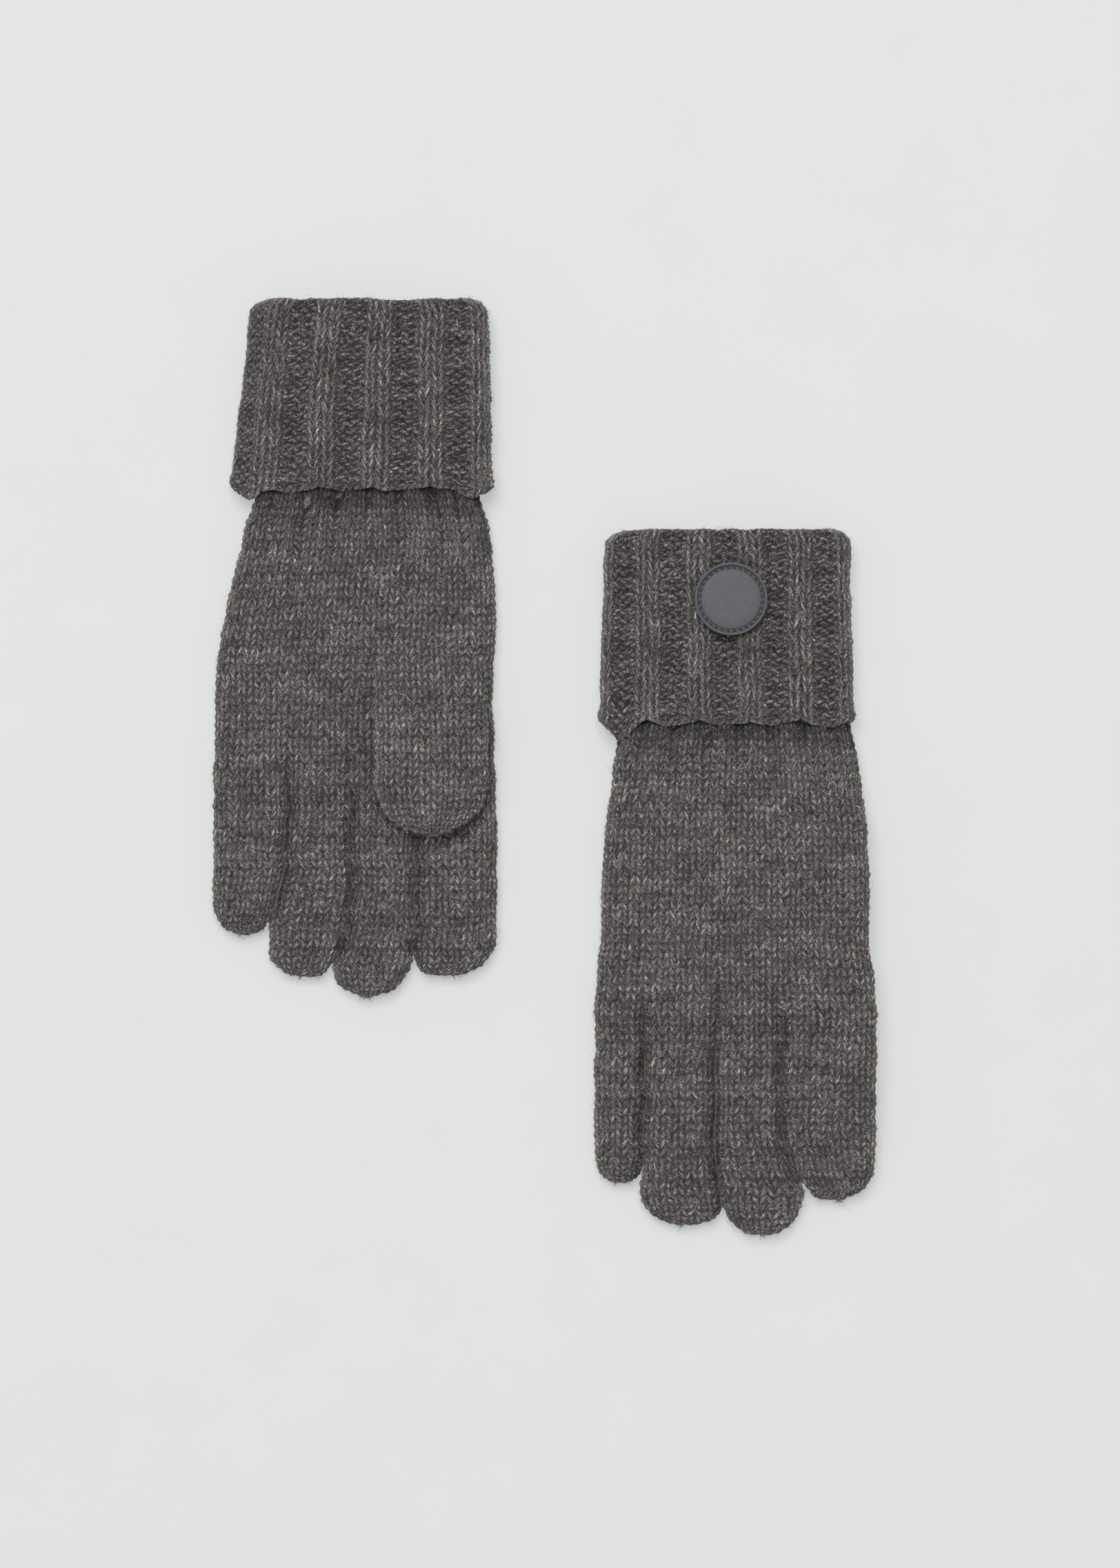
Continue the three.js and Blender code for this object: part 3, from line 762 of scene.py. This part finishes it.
class Nodes:
    """A few short ways to build a material's node tree."""

    def __init__(self, name):
        self.material = bpy.data.materials.new(name)
        self.material.use_nodes = True
        self.tree = self.material.node_tree
        self.shader = self.tree.nodes["Principled BSDF"]

    def new(self, kind, inputs=None, **settings):
        node = self.tree.nodes.new(kind)
        for key, value in settings.items():
            setattr(node, key, value)
        for key, value in (inputs or {}).items():
            self.put(node.inputs[key], value)
        return node

    def put(self, socket, value):
        if isinstance(value, bpy.types.NodeSocket):
            self.tree.links.new(value, socket)
        else:
            socket.default_value = value

    def place(self):
        return self.new("ShaderNodeTexCoord").outputs["Object"]

    def math(self, operation, a, b=0.0, c=0.0):
        return self.new("ShaderNodeMath", {0: a, 1: b, 2: c}, operation=operation).outputs[0]

    def vector(self, operation, a, b, c=(0.0, 0.0, 0.0)):
        inputs = {0: a, 1: b, 2: c}
        return self.new("ShaderNodeVectorMath", inputs, operation=operation).outputs[0]

    def noise(self, vector, scale=1.0, detail=2.0, roughness=0.5):
        inputs = {"Vector": vector, "Scale": scale, "Detail": detail, "Roughness": roughness}
        return self.new("ShaderNodeTexNoise", inputs, noise_dimensions="3D").outputs["Fac"]

    def ramp(self, value, *stops):
        node = self.new("ShaderNodeValToRGB", {0: value})
        elements = node.color_ramp.elements
        while len(elements) < len(stops):
            elements.new(0.5)
        for element, (place, colour) in zip(elements, stops):
            element.position = place
            element.color = (*colour, 1.0)
        return node.outputs[0]

    def multiply(self, a, b):
        node = self.new("ShaderNodeMix", data_type="RGBA", blend_type="MULTIPLY")
        for key, value in {0: 1.0, 6: a, 7: b}.items():
            self.put(node.inputs[key], value)
        return node.outputs[2]

    def surface(self, **inputs):
        """Sets the shader's inputs, whose names have _ for a space."""
        for key, value in inputs.items():
            self.put(self.shader.inputs[key.replace("_", " ")], value)
        return self.material

    def bump(self, strength, depth, height):
        inputs = {"Strength": strength, "Distance": depth, "Height": height}
        return self.new("ShaderNodeBump", inputs).outputs[0]


def grey(level, warm=0.0):
    return (level * (1 + warm), level, level * (1 - warm))


def yarn_material(name, level, crest_shading):
    """Heather yarn: light and dark fibres along each strand, under short curled hairs. Painted
    shade darkens the gaps between strands, a painted highlight lightens their tops, and the shade
    attribute adds more painted shade.
    """
    n = Nodes(name)
    at = n.new("ShaderNodeUVMap", uv_map="yarn").outputs[0]
    split = n.new("ShaderNodeSeparateXYZ", {0: at})
    u, v = split.outputs[0], split.outputs[1]
    apart = n.math("MULTIPLY", n.math("FLOOR", n.math("MULTIPLY", u, 2 / WALE)), 7.37)
    twist = n.math("MULTIPLY_ADD", u, 0.5, v)

    def patches(across, line, along, layer, detail=2.0):
        """Noise on the yarn's map, with so many lumps to a millimetre each way."""
        x, y = n.math("MULTIPLY", u, across), n.math("MULTIPLY", line, along)
        at = n.new("ShaderNodeCombineXYZ", {0: x, 1: y, 2: layer}).outputs[0]
        return n.noise(at, 1.0, detail)

    body = n.place()
    curl = n.new("ShaderNodeTexNoise", {"Vector": body, "Scale": 900.0, "Detail": 1.0})
    curled = n.vector("MULTIPLY_ADD", curl.outputs["Color"], (HAIR_CURL * MM,) * 3, body)
    scale = (1 / (HAIR_WIDTH * MM), 1 / (HAIR_LENGTH * MM), 1 / (HAIR_DEPTH * MM))
    hairs = None
    for turn in HAIR_TURNS:
        inputs = {"Vector": curled, "Angle": np.radians(turn)}
        lay = n.new("ShaderNodeVectorRotate", inputs, rotation_type="Z_AXIS").outputs[0]
        hair = n.noise(n.vector("MULTIPLY", lay, scale), 1.0, 1.0)
        hairs = hair if hairs is None else n.math("MAXIMUM", hairs, hair)
    hairs = n.math("SUBTRACT", hairs, 0.09)

    broad, fine = patches(1.0, twist, 2.2, apart), patches(2.2, twist, 5.5, apart)
    streaks = n.math("MULTIPLY_ADD", broad, 0.35, n.math("MULTIPLY", fine, 0.2))
    streaks = n.math("MULTIPLY_ADD", hairs, 0.45, streaks)
    colour = n.ramp(
        streaks, (0.38, grey(level * 0.2, 0.05)), (0.47, grey(level * 0.72, 0.03)),
        (0.53, grey(level * 1.3, 0.02)), (0.62, grey(level * 3.9, 0.05)),
    )
    crest = n.new("ShaderNodeAttribute", attribute_name="crest").outputs["Fac"]
    crest = n.math("MULTIPLY_ADD", crest, 0.5, n.math("MULTIPLY_ADD", hairs, 0.6, -0.3))
    heather = patches(0.09, v, 0.34, 9.0)
    cloud = patches(0.08, v, 0.13, 5.0, 1.0)
    tint = patches(0.5, v, 1.6, 3.0, 3.0)
    # The crest ramp paints shade in the gaps and highlights on the strand tops, and the shade
    # attribute is painted shade; heather, cloud and tint are the yarn's own colour
    for shade in (
        n.ramp(crest, *zip(CREST_PLACES, map(grey, crest_shading))),
        n.new("ShaderNodeAttribute", attribute_name="shade").outputs["Color"],
        n.ramp(heather, (0.3, grey(0.66)), (0.7, grey(1.34))),
        n.ramp(cloud, (0.3, grey(0.85)), (0.7, grey(1.15))),
        n.ramp(
            tint, (0.3, (0.955, 0.975, 1.065)), (0.5, (1.035, 0.985, 0.965)),
            (0.7, (1.115, 0.985, 0.89)),
        ),
    ):
        colour = n.multiply(colour, shade)
    return n.surface(
        Base_Color=colour, Roughness=0.95, Specular_IOR_Level=0.15, Sheen_Weight=0.5,
        Sheen_Roughness=0.5, Sheen_Tint=(0.8, 0.78, 0.76, 1.0), Normal=n.bump(1.0, 0.0004, streaks),
    )


def grained_material(name, scale, dark, light, **inputs):
    """A plain material with a fine grain that lightens and roughens it."""
    n = Nodes(name)
    grain = n.noise(n.place(), scale, 2.0, 0.6)
    strength, depth = inputs.pop("bump")
    return n.surface(
        Base_Color=n.ramp(grain, dark, light), Normal=n.bump(strength, depth, grain), **inputs
    )


# Pieces of a glove


def rib_share(count):
    """Share around the cuff for a count of wales, of which the knit ones are wider."""
    rib, inside = np.floor(count / RIB_WALES), count % RIB_WALES
    share = where(
        inside < 2, inside * KNIT_SHARE / 2, KNIT_SHARE + (inside - 2) * (1 - KNIT_SHARE) / 2
    )
    return (rib + share) / RIBS


def rib_relief(count):
    """1 on the middle of a rib and -1 in the middle of a trough, with steep sides."""
    return sin(RIB_SQUARE * cos(pi * (count - 1) / 2)) / sin(RIB_SQUARE)


def cuff(glove, yarn):
    """The turned cuff, from its hem up the outside and over the fold into the mouth."""
    arc = pi * FOLD_RADIUS
    straight = CUFF_LENGTH - FOLD_RADIUS
    length = straight + arc + LIP_LENGTH
    middle_half = glove.cuff_row(CUFF_LENGTH / 2)[1]
    crest = glove.rib_crest / (2 * half_round(middle_half, glove.cuff_half))
    start = rib_share(np.array(1.0)) - 0.5 + crest

    def path(ell):
        """Distance and depth for a length along the fabric."""
        turn = clip((ell - straight) / FOLD_RADIUS, 0, pi)
        past = maximum(ell - straight - arc, 0)
        d = CUFF_LENGTH - minimum(ell, straight) - FOLD_RADIUS * sin(turn) + past
        return d, FOLD_RADIUS * (1 - cos(turn))

    def turn_of(count):
        turn = 1 - 2 * ((rib_share(count) - start) % 1)
        return turn + glove.rib_stretch * sin(pi * turn) / pi

    def hem_line(count, ell):
        """How far the fabric hangs below the cuff's length: between its ribs and at its sides."""
        turn = turn_of(count)
        wave = HEM_WAVE * (2 * abs(cos(pi * (count - 3) / 4)) ** 0.8 - 1)
        wave = wave + 0.5 * wander(count, 0 * count, 2.1, 31) - glove.hem_rise
        past = abs(turn) - HANG_PLACE
        side = ease(1 - where(past < 0, -past / HANG_RISE, past / HANG_FALL))
        hang = where(turn < 0, *glove.hem_hang) * side
        line = wave + hang - (UNDER_HEM + hang) * ease((abs(turn) - 0.5) / 0.04)
        return line * unit(1 - ell / HANG_FADE) ** 2

    def place(count, d, depth, around_fold):
        middle, half = glove.cuff_row(d)
        half = half - CORNER_CUT * CUFF_CORNER * unit(1 - d / CUFF_CORNER) ** 2
        turn = turn_of(count)
        fade = clip(1 - around_fold / (2 * FOLD_RADIUS), 0.2, 1) * (1 - 0.6 * hump(d, 4))
        fade = fade * (1 - 0.6 * hump(abs(turn) - 0.5, 0.07))
        inset = depth - RIB_HEIGHT * (rib_relief(count) - 1) * fade
        x, z = tube_point(turn, half, glove.cuff_half, inset=inset)
        return glove.wobble(middle + x, glove.fold_y - d, glove.cuff_middle + z)

    def outside(count, ell):
        d, depth = path(ell)
        hem = unit(1 - ell / CAST_ON)
        low = hem_line(count, ell) + HEM_LOOP * hem * (abs(sin(2 * pi * count)) - 0.5)
        roll = HEM_ROLL * hump(ell - ROLL_PLACE, ROLL_WIDTH)
        return place(count, d + low, depth - roll + HEM_TUCK * hem ** 2, depth)

    def cast_on(count, ell, leg, height, crest):
        """The hem's loops are short slanted strands side by side."""
        near = unit(1 - ell / CAST_ON)
        strand = abs(sin(pi * (2 * count + CAST_ON_LEAN * ell)))
        share = unit(2.5 * near - 1)
        fold = 1 - 0.55 * hump(ell - straight - arc / 2, 3)
        height = mix(height * fold, -0.9 * (1 - strand) - 0.3 * near ** 2, share)
        crest = mix(crest, 0.2 + 0.6 * strand, share)
        # The troughs between the ribs get painted shade
        return height, crest, 1 - TROUGH_SHADE * (1 - rib_relief(count)) / 2

    def inside(count, ell):
        """The back of the fabric, from the lip's end to the hem."""
        d, depth = path(ell)
        inner = FOLD_RADIUS - CUFF_FABRIC / 2
        facing = clip((depth - FOLD_RADIUS) / FOLD_RADIUS, -1, 1)
        d = maximum(d, FOLD_RADIUS - inner) + hem_line(count, ell)
        return place(count, d, FOLD_RADIUS + inner * facing, depth)

    skin = Skin()
    wales = RIB_WALES * RIBS
    knit_skin(skin, outside, wales, 0.0, length, ribbed=True, soften=cast_on)
    back = concatenate([
        steps(length, straight + arc, 4.0), steps(straight + arc, straight, 1.8)[1:],
        steps(straight, 0.0, 6.0)[1:],
    ])
    plain_skin(skin, inside, wales, back)
    obj = knitted(glove, "cuff", skin, yarn, "rib_knit", "turned_cuff")
    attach(obj, f"{glove.side}_glove")


def wrist(glove, yarn):
    """The inner layer of rib."""

    def place(count, d, inset):
        middle, half = glove.wrist_row(d)
        relief = WRIST_RIB * (rib_relief(count) - 1)
        half = half - WRIST_TUCK * ease((d - WRIST_KNIT_END + 8) / 6)
        x, z = tube_point(2 * rib_share(count) - 1, half, WRIST_HALF, inset=inset - relief)
        x, z = middle + x, glove.middle_height(d) + z
        return glove.wobble(x, glove.fold_y - d, z + glove.lift(x, d))

    start, end = WRIST_START, WRIST_KNIT_END
    skin = fabric(place, RIB_WALES * RIBS, start, end, steps(end, start, 6.0), ribbed=True)
    obj = knitted(glove, "wrist", skin, yarn, "rib_knit", "wrist_rib")
    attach(obj, f"{glove.side}_glove")


def hand(glove, yarn):
    """The sleeve of plain knit, gathered at the wrist."""
    wales = glove.hand_wales

    def lobes(x, z, d):
        """Draws the section in where the fingers begin."""
        deepen = ease((d - VALLEY_START) / (LAST_COURSE * COURSE - VALLEY_START)) ** 2
        away = np.full(x.shape, np.inf)
        for k in range(1, len(FINGERS)):
            away = minimum(away, abs(x - glove.crease(k, d)) + PRESS)
        radius, _, wall = corner_of(np.inf, HAND_HALF, SIDE_FLAT)
        near = unit(1 - away / radius)
        full = (wall + radius * np.sqrt(1 - near ** 2)) / HAND_HALF
        return z * mix(1.0, full, deepen)

    def gather(count, d):
        """Depth of the folds where the sleeve is gathered into the cuff."""
        ripple = 2 * pi * (GATHERS * count / wales + 0.35 * wander(count, d / 8, 4.0, 23))
        fold = ((1 + cos(ripple)) / 2) ** 3 * (0.7 + 0.45 * wander(count, 0 * d, 5.0, 24))
        return fold * np.exp(-maximum(d - GATHER_START, 0) / GATHER_FADE)

    def place(count, d, inset):
        middle, half = glove.hand_row(d)
        turn = 2 * count / wales - 1
        inset = inset + GATHER_DEPTH * gather(count, d)
        tuck = GATHER_TUCK * (1 - ease((d - HAND_START) / 16))
        x, z = tube_point(turn, half - tuck, HAND_HALF - tuck, SIDE_FLAT, inset)
        x = middle + x
        z = lobes(x, z, d) + glove.middle_height(d)
        z = z - PALM_SINK * glove.under_thumb(x, d) * (abs(turn) < 0.5)
        return glove.wobble(x, glove.fold_y - d, z + glove.lift(x, d))

    def shape(count, d, leg, height, crest):
        """Paints shade on the creases and the folds, beside the thumb and under its tip, and a
        shadow under the hem.
        """
        x = place(count, d, 0.0)[0]
        crease_shade = np.zeros(x.shape)
        for k in range(1, len(FINGERS)):
            away = x - glove.crease(k, d)
            crease_shade = maximum(crease_shade, glove.valley_shade(abs(away), d, np.sign(away)))
        crease_shade = ease((d - VALLEY_START) / (CROTCH - VALLEY_START)) * crease_shade
        beneath = 0.0
        if glove.palm_up:
            end = glove.thumb_end
            # Painted shadow under the thumb's tip and painted shade on the palm beside its edge
            beyond = np.hypot((x - glove.thumb_middle) / THUMB_WIDTH * 5.0, d - end - 1.0)
            along = ease((d - THUMB_ROOT) / 20) * (1 - ease((d - end + 12) / 12))
            edge = hump(x - glove.thumb_low + 2.5, THUMB_SHADE_WIDTH)
            beneath = THUMB_SHADE * hump(beyond, THUMB_SHADE_WIDTH)
            beneath = beneath + THUMB_SIDE_SHADE * along * edge
        # Painted shadow under the hem
        beneath = beneath + HEM_SHADE * hump(d - HAND_START - HEM_SHADE_PLACE, HEM_SHADE_WIDTH)
        # Painted shade in the creases and the gathered folds
        return height, crest, 1 - crease_shade - beneath - GATHER_SHADE * gather(count, d)

    inner = steps(LAST_COURSE * COURSE + 1, HAND_START, 5.0)
    skin = fabric(place, wales, HAND_START, CROTCH + 5, inner, soften=shape, last=LAST_COURSE)
    obj = knitted(glove, "hand", skin, yarn, "plain_knit", "hand")
    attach(obj, f"{glove.side}_glove")


def tip_tube(turn_full, half_x, half_z, size):
    """A section of a closed end, whose outline cuts some wales off."""
    width, height = half_x * size, half_z * np.sqrt(size)
    full = half_round(half_x, half_z, SIDE_FLAT)
    narrow = half_round(width, height, SIDE_FLAT)
    from_top = abs(turn_full) * full
    upper = minimum(from_top, narrow / 2)
    lower = narrow - minimum(full - from_top, narrow / 2)
    straight = where(from_top <= full / 2, upper, lower)
    along = mix(straight, abs(turn_full) * narrow, TIP_CONVERGE)
    turn = np.sign(turn_full) * along / maximum(narrow, TINY)
    return tube_point(turn, width, height, SIDE_FLAT)


def round_end(ell, end, length):
    """Distance and share of the full section, along a skin with a rounded end."""
    angle = clip((ell - end + length) / length, 0, pi / 2)
    return minimum(ell, end - length) + length * sin(angle), cos(angle) ** TIP_SQUARE


def end_of_skin(end, length):
    """Length along a skin up to where its rounded end closes."""
    return end - length + length * pi / 2 - 0.02


def tip_fade(last, d):
    """The stitches run out where a tip closes."""
    return unit((last - d) / TIP_FADE + 0.1)


def finger(glove, f, yarn):
    """One finger."""
    name = FINGERS[f]
    end, knuckle, tip = glove.ends[f], glove.knuckles[f], TIP_ROUND[f]
    last = end_of_skin(end, tip)
    middle, half = glove.finger_row(f, CROTCH)
    wales, phase = glove.wales_from(CROTCH, middle, half, HAND_HALF)
    longer = [
        0 <= f - side < len(FINGERS) and glove.ends[f - side] > end + 2 for side in (1, -1)
    ]

    def beside(x, d, side):
        """How far a point lies from the neighbour to the left, for 1, or to the right, for -1."""
        if not 0 <= f - side < len(FINGERS):
            return np.full(np.shape(x), CLEAR)
        past = CLEAR * ease((d - glove.ends[f - side] + PAST_TIP) / PAST_TIP)
        return side * (x - glove.crease(f if side > 0 else f + 1, d)) + past

    def place(wale, ell, inset):
        d, size = round_end(ell, end - inset, tip)
        middle, half = glove.finger_row(f, d)
        turn = 2 * wale / wales - 1
        x, z = tip_tube(turn, half - inset, HAND_HALF - inset, size)
        square = maximum(size, TINY) ** (TIP_PRESSED - 1)
        x = x * where((x < 0) & longer[0] | (x > 0) & longer[1], square, 1.0)
        level = middle + x * mix(1, DRAPE_TILT, ease((d - CROTCH) / (knuckle - CROTCH)))
        x = middle + x
        side = -np.sign(x - middle)
        away = minimum(beside(x, d, 1), beside(x, d, -1))
        x = x - side * minimum(away - inset + PRESS_LAP, 0)
        return glove.wobble(x, glove.fold_y - d, z + HAND_HALF + glove.lift(level, d))

    def shape(count, d, leg, height, crest):
        """Ends the stitches at the tip and in the creases, sinks the first rows, and paints shade
        beside the creases and dims the crest in them.
        """
        sunk = TONGUE_DROP * unit((LAST_COURSE - leg) / 0.06)
        x, along = place(count - phase, d, 0.0)[0], round_end(d, end, tip)[0]
        away = {side: beside(x, along, side) for side in (1, -1)}
        crease_shade = maximum(*(glove.valley_shade(away[side], d, side) for side in away))
        inner = minimum(*away.values()) - PRESS_LAP
        crest = crest * mix(PRESS_SHADE, 1, ease(inner / 0.3))
        height = height * ease(inner / PRESS_FADE) * tip_fade(last, d) - sunk
        return height, crest, 1 - crease_shade

    first = LAST_COURSE - 0.8
    start = first * COURSE
    deep = FABRIC + TONGUE_DROP
    skin = fabric(
        place, wales, start - 5, last, steps(end_of_skin(end - deep, tip), start + 1, 4.0), deep,
        soften=shape, phase=phase, first=first,
    )
    obj = knitted(glove, name, skin, yarn, "plain_knit", f"{name}_root", f"{name}_tip")
    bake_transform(obj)


def thumb(glove, yarn):
    """The thumb lies on the palm, whose fabric runs on into it."""
    palm = 2 * HAND_HALF if glove.palm_up else DRAPE_HEIGHT
    outward = 1 if glove.palm_up else -1
    half, deep = THUMB_WIDTH / 2, THUMB_FULL / 2
    end, last = glove.thumb_end, end_of_skin(glove.thumb_end, THUMB_ROUND)
    wales, phase = glove.wales_from(THUMB_ROOT + THUMB_RISE / 2, glove.thumb_middle, half, deep)

    def place(wale, ell, inset):
        d, size = round_end(ell, end - inset, THUMB_ROUND)
        turn = (2 * wale / wales - 1) * outward
        rise = ease((d - THUMB_ROOT) / THUMB_RISE)
        x, z = tip_tube(turn, glove.thumb_form(0.0, d)[3] - inset, deep - inset, size)
        top, widest, bottom, _, crown = glove.thumb_form(x, d)
        reach = where(z > 0, (top - widest) * crown, widest - bottom)
        z = widest + z / (deep - inset) * maximum(reach - inset, THINNEST)
        x = glove.thumb_middle - THUMB_SPREAD / 2 * (1 - rise) + x
        x = minimum(x, glove.thumb_limit(d) - inset)
        return glove.wobble(x, glove.fold_y - d, palm + outward * z)

    def fade(count, d, leg, height, crest):
        slope = unit((d - THUMB_ROOT) / THUMB_RISE)
        # The thumb is painted a little lighter, and its rising root gets painted shade
        return height * tip_fade(last, d), crest, 1.05 - ROOT_SHADE * slope * (1 - slope)

    inner = steps(end_of_skin(end - THUMB_FABRIC, THUMB_ROUND), THUMB_ROOT, 4.0)
    skin = fabric(place, wales, THUMB_ROOT, last, inner, THUMB_FABRIC, soften=fade, phase=phase)
    obj = knitted(glove, "thumb", skin, yarn, "plain_knit", "thumb")
    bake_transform(obj)


# Badge and surroundings


def badge(rubber, thread):
    """A round badge: a raised rim, a groove with a ring of stitches and a bare flat middle."""
    low, high = box_of("cuff_badge")
    centre = (low + high) / 2
    radius = (high[0] - low[0]) / 2
    top = high[2] - low[2]
    face = top - BADGE_RIM
    profile = [(0.0, 0.0)]
    for level, points in ((0.0, BADGE_FOOT), (top, BADGE_TOP), (face, BADGE_FACE)):
        profile += [(radius - inset, level + rise) for inset, rise in points]
    profile.append((0.0, face + BADGE_CROWN))
    angle = 2 * pi * arange(BADGE_SEGMENTS + 1) / BADGE_SEGMENTS
    r, z = np.array(profile).T
    points = stack(np.broadcast_arrays(
        centre[0] + r[:, None] * cos(angle), centre[1] + r[:, None] * sin(angle),
        (low[2] + z)[:, None],
    ), -1)
    points[:, -1] = points[:, 0]
    skin = Skin()
    skin.add(points, points[..., :2])
    obj = piece("badge_disc", skin.mesh("badge_disc", flip=True), rubber, "badge", "cuff_badge")
    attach(obj, "right_glove")

    index = arange(STITCHES * STITCH_RINGS * STITCH_SIDES)
    index = index.reshape(STITCHES, STITCH_RINGS, STITCH_SIDES)
    k, i, j = np.indices(index.shape)
    share = i / (STITCH_RINGS - 1)
    arch = maximum(sin(pi * share), 0)
    half = STITCH_SHARE * 2 * pi / STITCHES
    a = 2 * pi * (k + 0.5) / STITCHES + mix(-half, half, share)
    b = 2 * pi * j / STITCH_SIDES
    thick = STITCH_RADIUS * arch ** 0.4 + 0.01
    r = radius - STITCH_INSET + mix(-STITCH_LEAN, STITCH_LEAN, share) + thick * cos(b)
    up = low[2] + face - STITCH_SUNK + STITCH_ARCH * arch + STITCH_FLAT * thick * sin(b)
    points = stack([centre[0] + r * cos(a), centre[1] + r * sin(a), up], -1)
    faces = []
    for here in index:
        beside = np.roll(here, -1, axis=1)
        sides = stack([here, beside, beside + STITCH_SIDES, here + STITCH_SIDES], -1)[:-1]
        faces += [*sides.reshape(-1, 4).tolist(), here[0, ::-1].tolist(), here[-1].tolist()]
    mesh = bpy.data.meshes.new("badge_stitches")
    mesh.from_pydata((points.reshape(-1, 3) * MM).tolist(), [], faces)
    mesh.polygons.foreach_set("use_smooth", np.ones(len(faces), bool))
    obj = piece("badge_stitch_ring", mesh, thread, "stitching", "badge_stitching")
    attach(obj, "right_glove")


def floor_material():
    """Pale paper, part of whose brightness is its own."""
    n = Nodes("floor_paper")
    mottle = n.noise(n.place(), 40.0, 3.0, 0.5)
    colour = n.ramp(mottle, (0.3, (0.738, 0.753, 0.746)), (0.7, (0.752, 0.768, 0.761)))
    n.surface(Base_Color=colour, Roughness=0.9, Specular_IOR_Level=0.1)
    seen = n.new("ShaderNodeLightPath")
    direct = n.math("MAXIMUM", seen.outputs["Is Camera Ray"], seen.outputs["Is Glossy Ray"])
    direct = n.math("MAXIMUM", direct, seen.outputs["Is Transmission Ray"])
    glow = n.new("ShaderNodeEmission", {"Color": FLOOR_COLOUR, "Strength": 1.0})
    share = n.math("MULTIPLY", direct, FLOOR_EVENNESS)
    both = n.new("ShaderNodeMixShader", {0: share, 1: n.shader.outputs[0], 2: glow.outputs[0]})
    n.put(n.tree.nodes["Material Output"].inputs["Surface"], both.outputs[0])
    return n.material


def studio():
    """Plain floor, soft light and a camera that looks straight down."""
    scene = bpy.context.scene
    scene.view_settings.view_transform = "Standard"
    mesh = bpy.data.meshes.new("floor")
    corners = FLOOR_REACH * np.array([(-1, -1, 0), (1, -1, 0), (1, 1, 0), (-1, 1, 0)])
    mesh.from_pydata(corners.tolist(), [], [(0, 1, 2, 3)])
    mesh.materials.append(floor_material())
    floor = added("floor", mesh, (0.0, 0.0, -FLOOR_DROP))

    world = bpy.data.worlds.new("room")
    world.use_nodes = True
    background = world.node_tree.nodes["Background"]
    background.inputs["Color"].default_value = (1.0, 1.0, 1.0, 1.0)
    background.inputs["Strength"].default_value = ROOM_LIGHT
    scene.world = world

    light = bpy.data.lights.new("key", "AREA")
    light.size = LAMP_SIZE
    light.energy = LAMP_WATTS
    x, y, z = LAMP_PLACE
    towards_middle = (float(np.arctan2(np.hypot(x, y), z)), 0.0, float(np.arctan2(x, -y)))
    added("key", light, LAMP_PLACE).rotation_euler = towards_middle

    view = bpy.data.cameras.new("camera")
    view.sensor_fit = "HORIZONTAL"
    view.sensor_width = SENSOR
    view.lens = SENSOR * CAMERA_PLACE[2] / VIEW_WIDTH
    view.clip_end = 20.0
    scene.camera = added("camera", view, CAMERA_PLACE)


def main():
    studio()
    plain = yarn_material("plain_yarn", *PLAIN_YARN)
    ribbed = yarn_material("rib_yarn", *RIB_YARN)
    for side in SIDES:
        glove = Glove(side)
        cuff(glove, ribbed)
        wrist(glove, ribbed)
        hand(glove, plain)
        for f in range(len(FINGERS)):
            finger(glove, f, plain)
        thumb(glove, plain)
    rubber = grained_material(
        "badge_rubber", 2600.0, (0.35, (0.085, 0.084, 0.094)), (0.65, (0.114, 0.112, 0.125)),
        Roughness=0.62, Specular_IOR_Level=0.35, bump=(0.5, 0.00006),
    )
    thread = grained_material(
        "badge_thread", 3500.0, (0.3, (0.03, 0.03, 0.034)), (0.7, (0.07, 0.07, 0.078)),
        Roughness=0.7, bump=(0.4, 0.00005),
    )
    badge(rubber, thread)


main()
